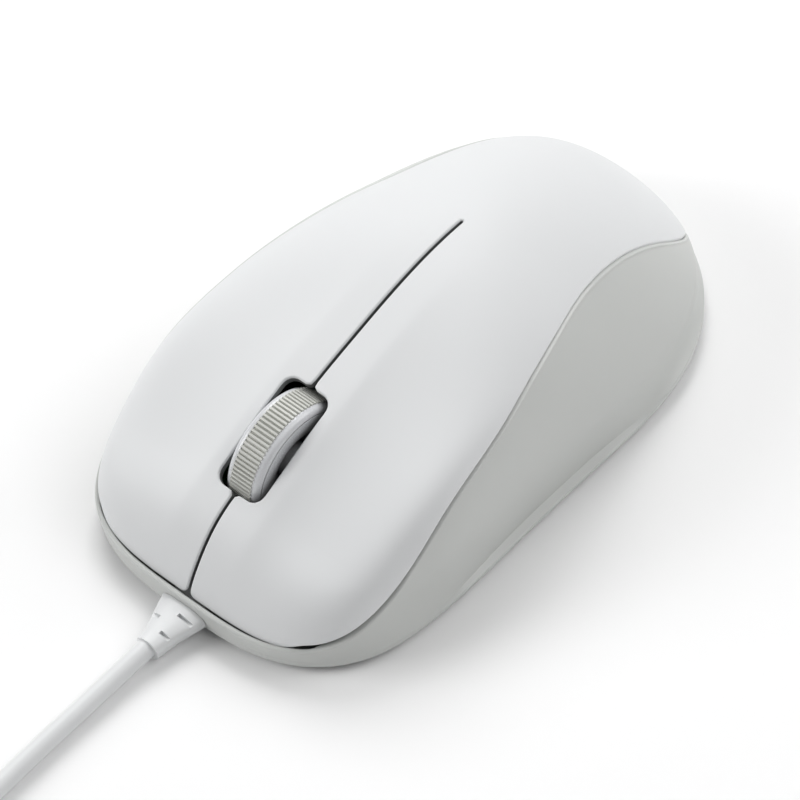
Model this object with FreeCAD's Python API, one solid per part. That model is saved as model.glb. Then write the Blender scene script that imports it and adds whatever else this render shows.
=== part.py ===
import FreeCAD
import Part
import math
import os

# Computer mouse with a cord, in millimetres.
# +Z is up and z = 0 is the table; the cord leaves toward -Y; the user's left hand side is +X.
# x = 0 is the plane of symmetry of the housing, and the origin is under the middle of the housing.

os.makedirs("parts", exist_ok=True)

V = FreeCAD.Vector
X_AXIS = V(1, 0, 0)
Y_AXIS = V(0, 1, 0)
Z_AXIS = V(0, 0, 1)

# ---------------------------------------------------------------- driving dimensions: the body form
STATIONS = (-49, -36, -24, -12, 0, 12, 24, 36, 49)
EQUATOR_HALF = (31.5, 28.5, 28.2, 27.7, 27.2, 27.4, 27.8, 28.1, 28.3)
EQUATOR_HEIGHT = (3.9, 8.0, 11.0, 11.0, 10.0, 8.6, 6.6, 5.3, 4.8)
BASE_HALF = (32.0, 31.1, 29.6, 28.7, 28.6, 29.1, 30.2, 30.5, 29.5)
PARTING_HEIGHT = (5.4, 9.7, 17.5, 21.1, 23.0, 23.2, 21.1, 15.0, 3.0)
CROWN_STATIONS = (-49, -43, -36, -24, -12, 0, 12, 24, 36, 43, 49)
CROWN_HEIGHT = (4.7, 13.4, 17.9, 23.6, 27.4, 30.2, 30.9, 28.1, 21.7, 16.0, 8.0)
NOSE_Y = 48.35            # the cover's front end, as a distance from x axis
TAIL_Y = 49.4
NOSE_POWER = 3.55         # how square the cover's plan is at each end
LIP_POWER = 3.4           # the same for the frame's upper edge at the nose
BASE_POWER = 3.0          # and for the base, whose front corners are rounder
TAIL_POWER = 2.6
FRONT_POWER = 5.9         # how square the dome's section is at the front
REAR_POWER = 2.1
FRONT_ROUND = 0.5         # 0.5 is an elliptic shoulder, 1 a straight slope
REAR_ROUND = 0.83
FLANGE_WIDTH = 1.3        # ledge along the waist
FLANGE_TOP = 2.7
FLANGE_EDGE = 2.2
BASE_Z = 1.5              # lower edge of the side frame
LIP_STEP = 1.05           # the frame stands this far out of the cover at the nose
LIP_WIDE = 0.3            # and this far at the front corners
LIP_WALL = 2.0            # the frame's wall at the nose
LIP_GAP = 0.2             # air between the cover's skirt and the frame's lip
LIP_END_Y = -44.6         # the skirt stands inside the lip from the nose back to here
EDGE_GAP = 0.15           # air between cover and frame where they are flush
SKIRT_DROP = 0.95         # how far the skirt reaches down inside the lip
WALL = 1.8
CROWN_WALL = 2.1          # the same wall measured along z on a slope
GROOVE_DEPTH = 1.7        # finger groove in each button

# ---------------------------------------------------------------- driving dimensions: the buttons
SLIT = 0.5
FLEX_Y = 13.0             # line where each button bends
FLEX_GAP = 0.2
PRESS_DEG = 0.45
SWITCH_X = 14.5
SWITCH_Y = -27.6
PLUNGER_Y = -30.5
SWITCH_TOP = 14.7
PLUNGER_RISE = 0.7        # the plunger's head above its switch
PLUNGER_GAP = 0.05        # air between the button's post and the plunger

# ---------------------------------------------------------------- driving dimensions: fixings
BOSS_X = 11.0
BOSS_Y = 33.0
BOSS_SPLIT = 9.2          # where the cover's bosses stand on the case's bosses
LUG_X = 22.8
LUG_FRONT = -20.0
LUG_REAR = 22.0
SCREW_HEAD_R = 2.0
SCREW_R = 0.85
FOOT_HALF = 11.0
FOOT_DEPTH = 4.0
FOOT_Y = 40.5
FOOT_RECESS = 0.3

# ---------------------------------------------------------------- driving dimensions: the wheel
AXLE_Y = -26.5
AXLE_Z = 15.4
WHEEL_R = 9.9
WHEEL_HALF = 2.95
RIB_HALF = 1.9
RIB_COUNT = 90
RIB_DEPTH = 0.4
RIM_R = 8.9
WINDOW_COUNT = 18
SLOT_HALF = 4.05
SLOT_FRONT = -37.1
SLOT_REAR = -20.5
SLOT_CORNER = 1.8
PIVOT_Y = -41.0
PIVOT_Z = 6.5
AXLE_R = 1.5
AXLE_HALF = 5.0
RUNNING_FIT = 0.05
SLOT_AIR = 0.45           # air around the wheel inside the buttons
PIVOT_R = 1.0
ARM_IN = 3.4
ARM_OUT = 4.8
TAB_UNDER = 13.0
LEAF_T = 0.3              # click spring strip
LEAF_WIDTH = 2.4
TAB_TOP = 14.6
KEY_X = 8.5
KEY_PIN_X = (KEY_X - 2.0, KEY_X + 2.2)
KEY_TOP = 11.7
KEY_RISE = TAB_UNDER - 0.05 - KEY_TOP

# ---------------------------------------------------------------- driving dimensions: the inside
PLATE_Z = 0.8
FLOOR_Z = 2.4
BOARD_Z = 7.0
BOARD_T = 1.2
BOARD_TOP = BOARD_Z + BOARD_T
BOARD_HALF = 20.5
BOARD_FRONT = -38.0
BOARD_REAR = 24.0
NOTCH_HALF = 5.6
NOTCH_REAR = -15.8
SENSOR_Y = 3.0
BOARD_POST = ((-16.5, 15.0), (16.5, 15.0))
LENS_WINDOW = (4.5, SENSOR_Y - 5.0, SENSOR_Y + 6.5)
EYE_X = 7.9
EYE_Y = AXLE_Y + 6.3
CHIP_PIN_X = 5.6
CHIP_PINS = 8
LED_Z = BOARD_TOP + 3.0
LED_TIP_Y = SENSOR_Y + 6.8
HEADER_X = -15.0
HEADER_Y = -36.0
WIRE_COUNT = 4
WIRE_PITCH = 1.5
WIRE_R = 0.4

# ---------------------------------------------------------------- driving dimensions: the cord
CORD_D = 3.0
CORD_R = CORD_D / 2
RELIEF_TIP_Y = -57.5
RELIEF_SLOT_HALF = 3.1
NECK_TOP = 3.4            # the relief's neck passes under the cover's skirt
COLLAR_FRONT = -46.0
COLLAR_REAR = -45.0
COLLAR_TOP = 5.0
CATCH_T = 0.7             # posts that hold the relief's collar
SHEATH_START = -44.0
SHEATH_END = -42.8
SHEATH_Z = 4.1
SLEEVE_R = 1.6
RELIEF_STEPS = (
    # y, middle x, middle z, half width, half height
    (-49.45, 0.2, 2.4, 4.1, 1.6),
    (-51.5, 0.3, 2.35, 3.5, 1.65),
    (-53.5, 0.4, 2.3, 2.85, 1.7),
    (-55.5, 0.5, 2.2, 2.3, 1.75),
    (RELIEF_TIP_Y, 0.55, 2.15, 1.95, 1.8),
)
COIL_X = -25.3
COIL_Y = -126.0
COIL_INNER_TURN = 14.5    # radius of the innermost turn's middle line
COIL_TURNS_WIDE = 5
COIL_LAYERS = 2
TIE_T = 0.5
LEAD_ROUTE = (
    (0.4, -56.5, 2.2),
    (1.3, -67.5, 1.7),
    (1.1, -80.0, 1.55),
    (0.5, -92.5, 1.6),
    (1.0, -104.0, 1.8),
    (1.2, -113.5, 2.0),
)
TAIL_ROUTE = ((-51.8, -115.5, 4.8), (-52.1, -101.5, 4.1))
PLUG_X = -52.1
PLUG_Z = 4.1
PLUG_START = TAIL_ROUTE[-1][1]
GRIP_START = PLUG_START + 7.5
SHELL_START = GRIP_START + 19.0
SHELL_END = SHELL_START + 12.0


# ================================================================ small tools
def natural_spline(xs, ys):
    """Return a function: the natural cubic spline through the given stations."""
    count = len(xs)
    gaps = [xs[i + 1] - xs[i] for i in range(count - 1)]
    upper = [0.0] * count
    value = [0.0] * count
    for i in range(1, count - 1):
        rise = (ys[i + 1] - ys[i]) / gaps[i] - (ys[i] - ys[i - 1]) / gaps[i - 1]
        pivot = 2 * (xs[i + 1] - xs[i - 1]) - gaps[i - 1] * upper[i - 1]
        upper[i] = gaps[i] / pivot
        value[i] = (3 * rise - gaps[i - 1] * value[i - 1]) / pivot
    curve = [0.0] * count
    for i in range(count - 2, 0, -1):
        curve[i] = value[i] - upper[i] * curve[i + 1]

    def evaluate(x):
        i = 0
        while i < count - 2 and x > xs[i + 1]:
            i += 1
        gap = gaps[i]
        slope = (ys[i + 1] - ys[i]) / gap - gap * (2 * curve[i] + curve[i + 1]) / 3
        d = x - xs[i]
        return ys[i] + d * (slope + d * (curve[i] + d * (curve[i + 1] - curve[i]) / (3 * gap)))

    return evaluate


def ramp(value, start, end):
    """0 before start, 1 after end, smooth between."""
    t = min(max((value - start) / (end - start), 0.0), 1.0)
    return t * t * (3 - 2 * t)


def box(x0, x1, y0, y1, z0, z1):
    return Part.makeBox(x1 - x0, y1 - y0, z1 - z0, V(x0, y0, z0))


def cylinder(x, y, z, radius, length, axis=Z_AXIS):
    return Part.makeCylinder(radius, length, V(x, y, z), axis)


def rounded_plate(x0, x1, y0, y1, z0, z1, radius):
    plate = box(x0, x1, y0, y1, z0, z1)
    upright = [e for e in plate.Edges if abs(e.tangentAt(e.FirstParameter).z) > 0.9]
    return plate.makeFillet(radius, upright)


def join(shapes):
    solid = shapes[0]
    for shape in shapes[1:]:
        solid = solid.fuse(shape)
    return solid.removeSplitter()


def group(shapes):
    return Part.makeCompound(shapes)


def both_sides(shape):
    """The shape and its mirror image across x = 0."""
    return [shape, shape.mirror(V(0, 0, 0), X_AXIS)]


def smooth_edge(points):
    """A B-spline edge through the points; equal point counts give equal knots."""
    curve = Part.BSplineCurve()
    knots = [float(i) for i in range(len(points))]
    curve.interpolate(Points=points, Parameters=knots)
    return curve.toShape()


def save(name, shape):
    solids = shape.Solids
    report = "valid" if shape.isValid() else "NOT VALID"
    print("%-20s %2d solid(s) %10.1f mm3 %s" % (name, len(solids), shape.Volume, report))
    shape.exportStep("parts/%s.step" % name)


# ================================================================ the body form
equator_width = natural_spline(STATIONS, EQUATOR_HALF)
equator_level = natural_spline(STATIONS, EQUATOR_HEIGHT)
base_width = natural_spline(STATIONS, BASE_HALF)
parting_level = natural_spline(STATIONS, PARTING_HEIGHT)
crown_level = natural_spline(CROWN_STATIONS, CROWN_HEIGHT)


def nose(y):
    """1 along the nose, where cover and frame stand apart, 0 from the waist back."""
    return 1 - ramp(y, -40, -28)


class Form:
    """How far a solid stands out of the cover's plan, and how square its front corners are."""

    def __init__(self, front, wide, side, top_power=NOSE_POWER):
        self.front = front            # at the tip of the nose
        self.wide = wide              # at the front corners
        self.side = side              # everywhere else
        self.top_power = top_power

    def reach(self, y):
        return NOSE_Y + self.front if y < 0 else TAIL_Y + self.side

    def half(self, widths, y, nose_power):
        """Half width of the plan at y."""
        power = nose_power if y < 0 else TAIL_POWER
        width = widths(y) + self.side + (self.wide - self.side) * nose(y)
        return width * max(1 - (abs(y) / self.reach(y)) ** power, 0.0) ** (1 / power)

    def top_half(self, y):
        return self.half(equator_width, y, self.top_power)

    def base_half(self, y):
        return self.half(base_width, y, BASE_POWER)


def frame_form(offset_front, offset_side):
    """The frame's outside, moved inward."""
    return Form(LIP_STEP - offset_front, LIP_WIDE - offset_front, -offset_side, LIP_POWER)


def groove(x, y):
    """Depth of the finger groove at a point of the top."""
    middle = 11.0 + 3.0 * ramp(y, -35, 5)
    across = (abs(x) - middle) / 6.5
    if abs(across) >= 1:
        return 0.0
    along = ramp(y, -47, -36) * (1 - ramp(y, -15, 24))
    return GROOVE_DEPTH * along * (1 - across * across) ** 2


SECTION_STEPS = (0, 0.07, 0.14, 0.21, 0.28, 0.35, 0.43, 0.51, 0.59, 0.67, 0.75, 0.82, 0.88, 0.93,
                 0.965, 0.987, 0.997, 1)


def section(y, form, lift, drop, bottom):
    """Closed wire of the body at y: dome, walls, flange ledge and bottom line."""
    away = nose(y)
    half = form.top_half(y)
    foot_edge = form.base_half(y)
    foot = foot_edge - FLANGE_WIDTH * ramp(y, -36, -6) * (1 - ramp(y, 6, 28))
    foot = max(foot, 0.5 * half)
    level = equator_level(y) + lift * away
    rise = max(crown_level(y) + lift * away - drop * (1 - away * lift / 2.5) - level, 0.8)
    power = FRONT_POWER + (REAR_POWER - FRONT_POWER) * ramp(y, -38, 20)
    shoulder = FRONT_ROUND + (REAR_ROUND - FRONT_ROUND) * ramp(y, -10, 28)
    right = []
    for step in SECTION_STEPS:
        x = half * step
        z = level + rise * max(1 - step ** power, 0.0) ** shoulder
        fade = min(1.0, (1 - step) * 8)
        right.append(V(x, y, z - groove(x, y) * fade))
    dome = [V(-p.x, p.y, p.z) for p in reversed(right[1:])] + right
    wall = []
    for i in range(5):
        s = i / 4
        wall.append(V(half + (foot - half) * s * s, y, level + (FLANGE_TOP - level) * s))
    corner = V(foot_edge, y, FLANGE_EDGE)
    low = V(foot_edge, y, bottom)
    mirror = [V(-p.x, p.y, p.z) for p in wall]
    edges = [
        smooth_edge(dome),
        smooth_edge(wall),
        Part.LineSegment(wall[-1], corner).toShape(),
        Part.LineSegment(corner, low).toShape(),
        Part.LineSegment(low, V(-low.x, y, bottom)).toShape(),
        Part.LineSegment(V(-low.x, y, bottom), V(-corner.x, y, corner.z)).toShape(),
        Part.LineSegment(V(-corner.x, y, corner.z), mirror[-1]).toShape(),
        smooth_edge(list(reversed(mirror))),
    ]
    return Part.Wire(edges)


def body_solid(form, lift, drop, bottom, count=26):
    """Loft of sections, closer together toward the ends."""
    first = form.reach(-1)
    last = form.reach(1)
    wires = []
    for i in range(count + 1):
        turn = math.pi * (0.025 + 0.95 * i / count)
        y = -math.cos(turn)
        y = y / math.cos(math.pi * 0.025) * 0.998
        y = y * (first if y < 0 else last)
        wires.append(section(y, form, lift, drop, bottom))
    return Part.makeLoft(wires, True, False)


def below(level, width=45.0):
    """Solid under the curve z = level(y), as wide as the whole body."""
    stations = [-52 + 0.8 * i for i in range(131)]
    points = [V(-width, y, level(y)) for y in stations]
    top = Part.BSplineCurve()
    top.interpolate(Points=points)
    end = points[-1]
    start = points[0]
    wire = Part.Wire([
        top.toShape(),
        Part.LineSegment(end, V(-width, end.y, -5)).toShape(),
        Part.LineSegment(V(-width, end.y, -5), V(-width, start.y, -5)).toShape(),
        Part.LineSegment(V(-width, start.y, -5), start).toShape(),
    ])
    return Part.Face(wire).extrude(V(2 * width, 0, 0))


def nested(y):
    """1 where the cover's skirt stands inside the frame's lip."""
    return 1 - ramp(y, LIP_END_Y - 2.6, LIP_END_Y - 0.5)


def press_drop(y):
    """How far the edge of a button sinks at y, with a tenth to spare."""
    return 1.1 * math.radians(PRESS_DEG) * max(FLEX_Y - y, 0.0)


def cover_edge(y):
    """Lower edge of the white cover."""
    y = min(max(y, -49), 49)
    return parting_level(y) + EDGE_GAP / 3 - SKIRT_DROP * nested(y)


def frame_edge(y):
    """Upper edge of the grey frame: it leaves room for the buttons' travel."""
    y = min(max(y, -49), 49)
    gap = EDGE_GAP * 2 / 3 + press_drop(y) * (1 - nested(y)) + 0.25 * nested(y)
    return parting_level(y) - gap


def skirt_floor(y):
    """Lowest level that the cover's skirt needs inside the lip."""
    return cover_edge(y) - press_drop(y) - 0.25


def skirt_room():
    """Space inside the lip for the cover's skirt."""
    air = LIP_GAP + 0.03
    grown = body_solid(Form(air, air, air), 0, 0, BASE_Z)
    return grown.cut(below(skirt_floor)).common(box(-40, 40, -60, LIP_END_Y, 0, 30))


def plan_ring(y_from, y_to, offset, count=40):
    """Closed plan outline of the base, moved in by offset, as points at z = 0."""
    right = []
    for i in range(count + 1):
        y = y_from + (y_to - y_from) * (0.5 - 0.5 * math.cos(math.pi * i / count))
        right.append((frame_form(offset, offset).base_half(y), y))
    return right


def plan_plate(offset, z0, z1):
    """Flat plate with the plan of the base."""
    front = -(NOSE_Y + LIP_STEP - offset) * 0.9985
    rear = (TAIL_Y - offset) * 0.9985
    right = [V(x, y, z0) for x, y in plan_ring(front, rear, offset)]
    left = [V(-p.x, p.y, p.z) for p in reversed(right)]
    wire = Part.Wire([
        Part.LineSegment(left[-1], right[0]).toShape(),
        smooth_edge(right),
        Part.LineSegment(right[-1], left[0]).toShape(),
        smooth_edge(left),
    ])
    return Part.Face(wire).extrude(V(0, 0, z1 - z0))


# ================================================================ housing shells
def wheel_opening():
    slot = rounded_plate(-SLOT_HALF, SLOT_HALF, SLOT_FRONT, SLOT_REAR, 8, 40, SLOT_CORNER)
    room = cylinder(-SLOT_HALF, AXLE_Y, AXLE_Z, WHEEL_R + SLOT_AIR, 2 * SLOT_HALF, X_AXIS)
    return slot.fuse(room)


def cover_shell():
    outer = body_solid(Form(0, 0, 0), 0, 0, BASE_Z)
    inner = body_solid(Form(-1.5, -1.5, -WALL), 0, CROWN_WALL, -1)
    lower = below(cover_edge)
    return inner, outer.cut(inner).cut(lower)


def screw_boss(x, y, z0, inner):
    """Hollow post that hangs from the cover's underside down to z0."""
    post = cylinder(x, y, z0, 2.8, 30).common(inner)
    return post.cut(cylinder(x, y, z0 - 1, 1.0, 9))


def make_top_cover(shell, inner):
    palm = shell.common(box(-40, 40, FLEX_Y + FLEX_GAP, 60, -5, 50))
    bosses = [screw_boss(x, BOSS_Y, BOSS_SPLIT, inner) for x in (-BOSS_X, BOSS_X)]
    rib = box(-0.8, 0.8, 16, 44, 15, 40).common(inner)
    return join([palm] + bosses + [rib])


def make_button(shell, inner):
    """The button on the +X side."""
    half = shell.common(box(SLIT / 2, 40, -60, FLEX_Y, -5, 50)).cut(wheel_opening())
    post_floor = SWITCH_TOP + PLUNGER_RISE + PLUNGER_GAP
    post = box(SWITCH_X - 1.5, SWITCH_X + 1.5, PLUNGER_Y - 1.5, PLUNGER_Y + 1.5, post_floor, 40)
    stiffener = box(SWITCH_X - 0.7, SWITCH_X + 0.7, PLUNGER_Y, 4, 18.5, 40)
    guard = box(5.6, 6.6, -19, 8, 20.5, 40)
    return join([half, post.common(inner), stiffener.common(inner), guard.common(inner)])


def frame_lug(x, y):
    """Screw lug on the inside of the frame, on the +X side."""
    return box(x - 2.5, x + 6, y - 3, y + 3, FLOOR_Z, FLOOR_Z + 2.2)


def make_side_frame():
    outer = body_solid(frame_form(0, 0), 2.5, 0, BASE_Z)
    inner = body_solid(frame_form(LIP_WALL, WALL), 2.5, CROWN_WALL, -1)
    ring = outer.cut(inner).common(below(frame_edge)).cut(skirt_room())
    lugs = []
    for y in (LUG_FRONT, LUG_REAR):
        lugs += both_sides(frame_lug(LUG_X, y).common(outer))
    frame = join([ring] + lugs)
    for y in (LUG_FRONT, LUG_REAR):
        for x in (-LUG_X, LUG_X):
            frame = frame.cut(cylinder(x, y, 0, 0.9, 6))
    return frame.cut(box(-RELIEF_SLOT_HALF, RELIEF_SLOT_HALF, -52, -46, 0, 4.1))


def make_bottom_case():
    plate = plan_plate(0.5, PLATE_Z, BASE_Z - 0.1)
    upper = plan_plate(2.4, BASE_Z - 0.1, FLOOR_Z)
    pieces = [plate, upper]
    for x, y in BOARD_POST:
        pieces.append(cylinder(x, y, FLOOR_Z, 2.6, BOARD_Z - FLOOR_Z))
    for x in (-17.5, 17.5):
        pieces.append(cylinder(x, -35.5, FLOOR_Z, 1.8, BOARD_Z - FLOOR_Z))
    for x in (-BOSS_X, BOSS_X):
        pieces.append(cylinder(x, BOSS_Y, FLOOR_Z, 3.0, BOSS_SPLIT - 0.1 - FLOOR_Z))
    for side in (-1, 1):
        x0 = min(side * 5.2, side * 7.7)
        pieces.append(box(x0, x0 + 2.5, PIVOT_Y - 2.1, PIVOT_Y + 2.1, FLOOR_Z, PIVOT_Z + 2.1))
    pieces += both_sides(box(3.3, 5.5, COLLAR_FRONT - 0.1 - CATCH_T, COLLAR_FRONT - 0.1, FLOOR_Z, NECK_TOP))
    pieces += both_sides(box(2.2, 4.6, COLLAR_REAR + 0.1, COLLAR_REAR + 0.1 + CATCH_T, FLOOR_Z, COLLAR_TOP))
    for x in (-8.6, 7.6):
        pieces.append(box(x, x + 1.0, 25.5, 41.5, FLOOR_Z, FLOOR_Z + 2.2))
    case = join(pieces)
    for x, y in BOARD_POST:
        case = case.cut(cylinder(x, y, FLOOR_Z + 0.4, 0.9, 10))
    for x in (-BOSS_X, BOSS_X):
        case = case.cut(cylinder(x, BOSS_Y, 0, 1.25, 12))
        case = case.cut(cylinder(x, BOSS_Y, 0, SCREW_HEAD_R + 0.2, 5.6))
    for x in (-LUG_X, LUG_X):
        for y in (LUG_FRONT, LUG_REAR):
            case = case.cut(cylinder(x, y, 0, 1.1, 4))
            case = case.cut(cylinder(x, y, 0, SCREW_HEAD_R + 0.2, PLATE_Z + 0.9))
    case = case.cut(cylinder(-10, PIVOT_Y, PIVOT_Z, PIVOT_R + RUNNING_FIT, 20, X_AXIS))
    half, y0, y1 = LENS_WINDOW
    case = case.cut(rounded_plate(-half, half, y0, y1, 0, 4, 2.0))
    for y in (-FOOT_Y, FOOT_Y):
        case = case.cut(foot_pad(y, 0.15))
    return case


def foot_pad(y, grow):
    """Low-friction pad with round ends, let into the underside."""
    half = FOOT_HALF + grow
    deep = FOOT_DEPTH / 2 + grow
    top = PLATE_Z + FOOT_RECESS
    return rounded_plate(-half, half, y - deep, y + deep, 0, top, deep - 0.05)


def make_ballast():
    plate = rounded_plate(-7.2, 7.2, 26.0, 41.0, FLOOR_Z, FLOOR_Z + 3.0, 1.5)
    return plate.cut(cylinder(0, BOSS_Y, 0, 2.0, 10))


def screw(x, y, z, shank, upward=1):
    """Pan-head screw: head at z, shank along +z or -z."""
    axis = V(0, 0, upward)
    head = Part.makeCylinder(SCREW_HEAD_R, 1.0, V(x, y, z), axis)
    body = Part.makeCylinder(SCREW_R, shank, V(x, y, z + upward), axis)
    drive = group([box(x - 1.2, x + 1.2, y - 0.2, y + 0.2, z - 0.5, z + 0.5),
                   box(x - 0.2, x + 0.2, y - 1.2, y + 1.2, z - 0.5, z + 0.5)])
    return head.fuse(body).cut(drive)


def make_case_screws():
    return group([screw(x, BOSS_Y, 4.6, 8.0) for x in (-BOSS_X, BOSS_X)])


def make_frame_screws():
    shank = FLOOR_Z + 2.0 - PLATE_Z - 0.9
    places = [(x, y) for x in (-LUG_X, LUG_X) for y in (LUG_FRONT, LUG_REAR)]
    return group([screw(x, y, PLATE_Z - 0.1, shank) for x, y in places])


def make_board_screws():
    return group([screw(x, y, BOARD_TOP + 1.0, 4.6, -1) for x, y in BOARD_POST])


# ================================================================ scroll wheel
def ring_profile(radius_out, radius_in, x0, x1):
    outer = cylinder(x0, AXLE_Y, AXLE_Z, radius_out, x1 - x0, X_AXIS)
    return outer.cut(cylinder(x0 - 1, AXLE_Y, AXLE_Z, radius_in, x1 - x0 + 2, X_AXIS))


def wheel_point(x, radius, turn):
    return V(x, AXLE_Y + radius * math.cos(turn), AXLE_Z + radius * math.sin(turn))


def make_wheel_tyre():
    """Band with fine ribs across it."""
    pitch = 2 * math.pi / RIB_COUNT
    corners = []
    for i in range(RIB_COUNT):
        for radius, part in ((WHEEL_R, 0.0), (WHEEL_R, 0.45), (WHEEL_R - RIB_DEPTH, 0.55),
                             (WHEEL_R - RIB_DEPTH, 0.9)):
            corners.append(wheel_point(-RIB_HALF, radius, (i + part) * pitch))
    outline = Part.makePolygon(corners + [corners[0]])
    band = Part.Face(outline).extrude(V(2 * RIB_HALF, 0, 0))
    return band.cut(cylinder(-5, AXLE_Y, AXLE_Z, RIM_R, 10, X_AXIS))


def make_wheel_hub():
    """Rim with rounded shoulders, spoked web and axle."""
    shoulder = WHEEL_R - 0.25
    blank = cylinder(-WHEEL_HALF, AXLE_Y, AXLE_Z, shoulder, 2 * WHEEL_HALF, X_AXIS)
    rims = [e for e in blank.Edges if len(e.Vertexes) == 1]
    blank = blank.makeFillet(0.9, rims)
    band = ring_profile(WHEEL_R + 1, RIM_R, -RIB_HALF, RIB_HALF)
    hub = blank.cut(band)
    for x0, x1 in ((-5, -0.8), (0.8, 5)):
        hub = hub.cut(ring_profile(7.9, 2.8, x0, x1))
    for i in range(WINDOW_COUNT):
        turn = 360.0 * i / WINDOW_COUNT
        window = box(-2, 2, AXLE_Y + 5.2, AXLE_Y + 7.4, AXLE_Z - 0.55, AXLE_Z + 0.55)
        window.rotate(V(0, AXLE_Y, AXLE_Z), X_AXIS, turn)
        hub = hub.cut(window)
    axle = cylinder(-AXLE_HALF, AXLE_Y, AXLE_Z, AXLE_R, 2 * AXLE_HALF, X_AXIS)
    return join([hub, axle])


def arm(x0, x1):
    """Side plate of the carrier, from the pivot up to the axle."""
    rise = math.atan2(AXLE_Z - PIVOT_Z, AXLE_Y - PIVOT_Y)
    reach = math.hypot(AXLE_Z - PIVOT_Z, AXLE_Y - PIVOT_Y)
    bar = box(x0, x1, PIVOT_Y, PIVOT_Y + reach, PIVOT_Z - 1.6, PIVOT_Z + 1.6)
    bar.rotate(V(0, PIVOT_Y, PIVOT_Z), X_AXIS, math.degrees(rise))
    eye = cylinder(x0, AXLE_Y, AXLE_Z, 2.5, x1 - x0, X_AXIS)
    foot = cylinder(x0, PIVOT_Y, PIVOT_Z, 1.6, x1 - x0, X_AXIS)
    return join([bar, eye, foot])


def make_wheel_carrier():
    pieces = [arm(-ARM_OUT, -ARM_IN), arm(ARM_IN, ARM_OUT)]
    pieces.append(box(-ARM_OUT, ARM_OUT, -40.3, -38.2, 6.9, 9.3))
    for side in (-1, 1):
        x0 = min(side * (ARM_OUT - 0.5), side * 7.6)
        pieces.append(cylinder(x0, PIVOT_Y, PIVOT_Z, PIVOT_R, 7.6 - ARM_OUT + 0.5, X_AXIS))
        x0 = min(side * (ARM_OUT - 0.5), side * (KEY_X + 2.0))
        width = KEY_X + 2.0 - ARM_OUT + 0.5
        pieces.append(box(x0, x0 + width, AXLE_Y - 1.8, AXLE_Y + 1.8, TAB_UNDER, TAB_TOP))
    bore_half = AXLE_HALF + 0.3
    bore = cylinder(-bore_half, AXLE_Y, AXLE_Z, AXLE_R + RUNNING_FIT, 2 * bore_half, X_AXIS)
    return join(pieces).cut(bore)


def make_click_spring():
    """Leaf spring under the carrier's -X tab: a foot on the board, a rise and a curled tip."""
    half = LEAF_T / 2
    low = BOARD_TOP + 0.05 + half
    high = TAB_UNDER - 0.1 - half
    line = [V(-KEY_X, AXLE_Y + 3.6, low), V(-KEY_X, AXLE_Y - 2.6, low),
            V(-KEY_X, AXLE_Y - 1.6, low + 1.1), V(-KEY_X, AXLE_Y - 0.4, high),
            V(-KEY_X, AXLE_Y + 1.0, high), V(-KEY_X, AXLE_Y + 1.8, high - 0.9)]
    strips = []
    for start, end in zip(line, line[1:]):
        run = end - start
        strip = Part.makeBox(LEAF_WIDTH, run.Length, LEAF_T, V(-LEAF_WIDTH / 2, 0, -half))
        strip.rotate(V(0, 0, 0), X_AXIS, math.degrees(math.atan2(run.z, run.y)))
        strip.translate(start)
        strips.append(strip)
        strips.append(cylinder(-KEY_X - LEAF_WIDTH / 2, end.y, end.z, half, LEAF_WIDTH, X_AXIS))
    return join(strips)


# ================================================================ switches


def make_switch():
    """Snap switch under the +X button, with a well for its plunger and three pins."""
    body = box(SWITCH_X - 2.9, SWITCH_X + 2.9, SWITCH_Y - 6.4, SWITCH_Y + 6.4, BOARD_TOP, SWITCH_TOP)
    top_edges = [e for e in body.Edges if e.BoundBox.ZMin > SWITCH_TOP - 0.01]
    body = body.makeChamfer(0.3, top_edges)
    well = box(SWITCH_X - 1.5, SWITCH_X + 1.5, PLUNGER_Y - 0.7, PLUNGER_Y + 0.7, 12.4, 20)
    body = body.cut(well)
    pins = [box(SWITCH_X - 0.3, SWITCH_X + 0.3, SWITCH_Y + d - 0.25, SWITCH_Y + d + 0.25,
                BOARD_Z - 1.6, BOARD_TOP + 0.2) for d in (-5.0, 0.0, 5.0)]
    return join([body] + pins)


def make_plunger():
    top = SWITCH_TOP + PLUNGER_RISE
    return box(SWITCH_X - 1.4, SWITCH_X + 1.4, PLUNGER_Y - 0.6, PLUNGER_Y + 0.6, 13.1, top)


def make_middle_switch():
    body = box(KEY_X - 2.6, KEY_X + 2.8, AXLE_Y - 3.0, AXLE_Y + 3.0, BOARD_TOP, KEY_TOP)
    body = body.cut(cylinder(KEY_X, AXLE_Y, 10.0, 1.5, 5))
    pins = []
    for x in KEY_PIN_X:
        for y in (AXLE_Y - 2.2, AXLE_Y + 2.2):
            pins.append(box(x - 0.3, x + 0.3, y - 0.3, y + 0.3, BOARD_Z - 1.2, BOARD_TOP + 0.2))
    return join([body] + pins)


def make_middle_plunger():
    return cylinder(KEY_X, AXLE_Y, 10.6, 1.4, KEY_TOP + KEY_RISE - 10.6)


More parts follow.
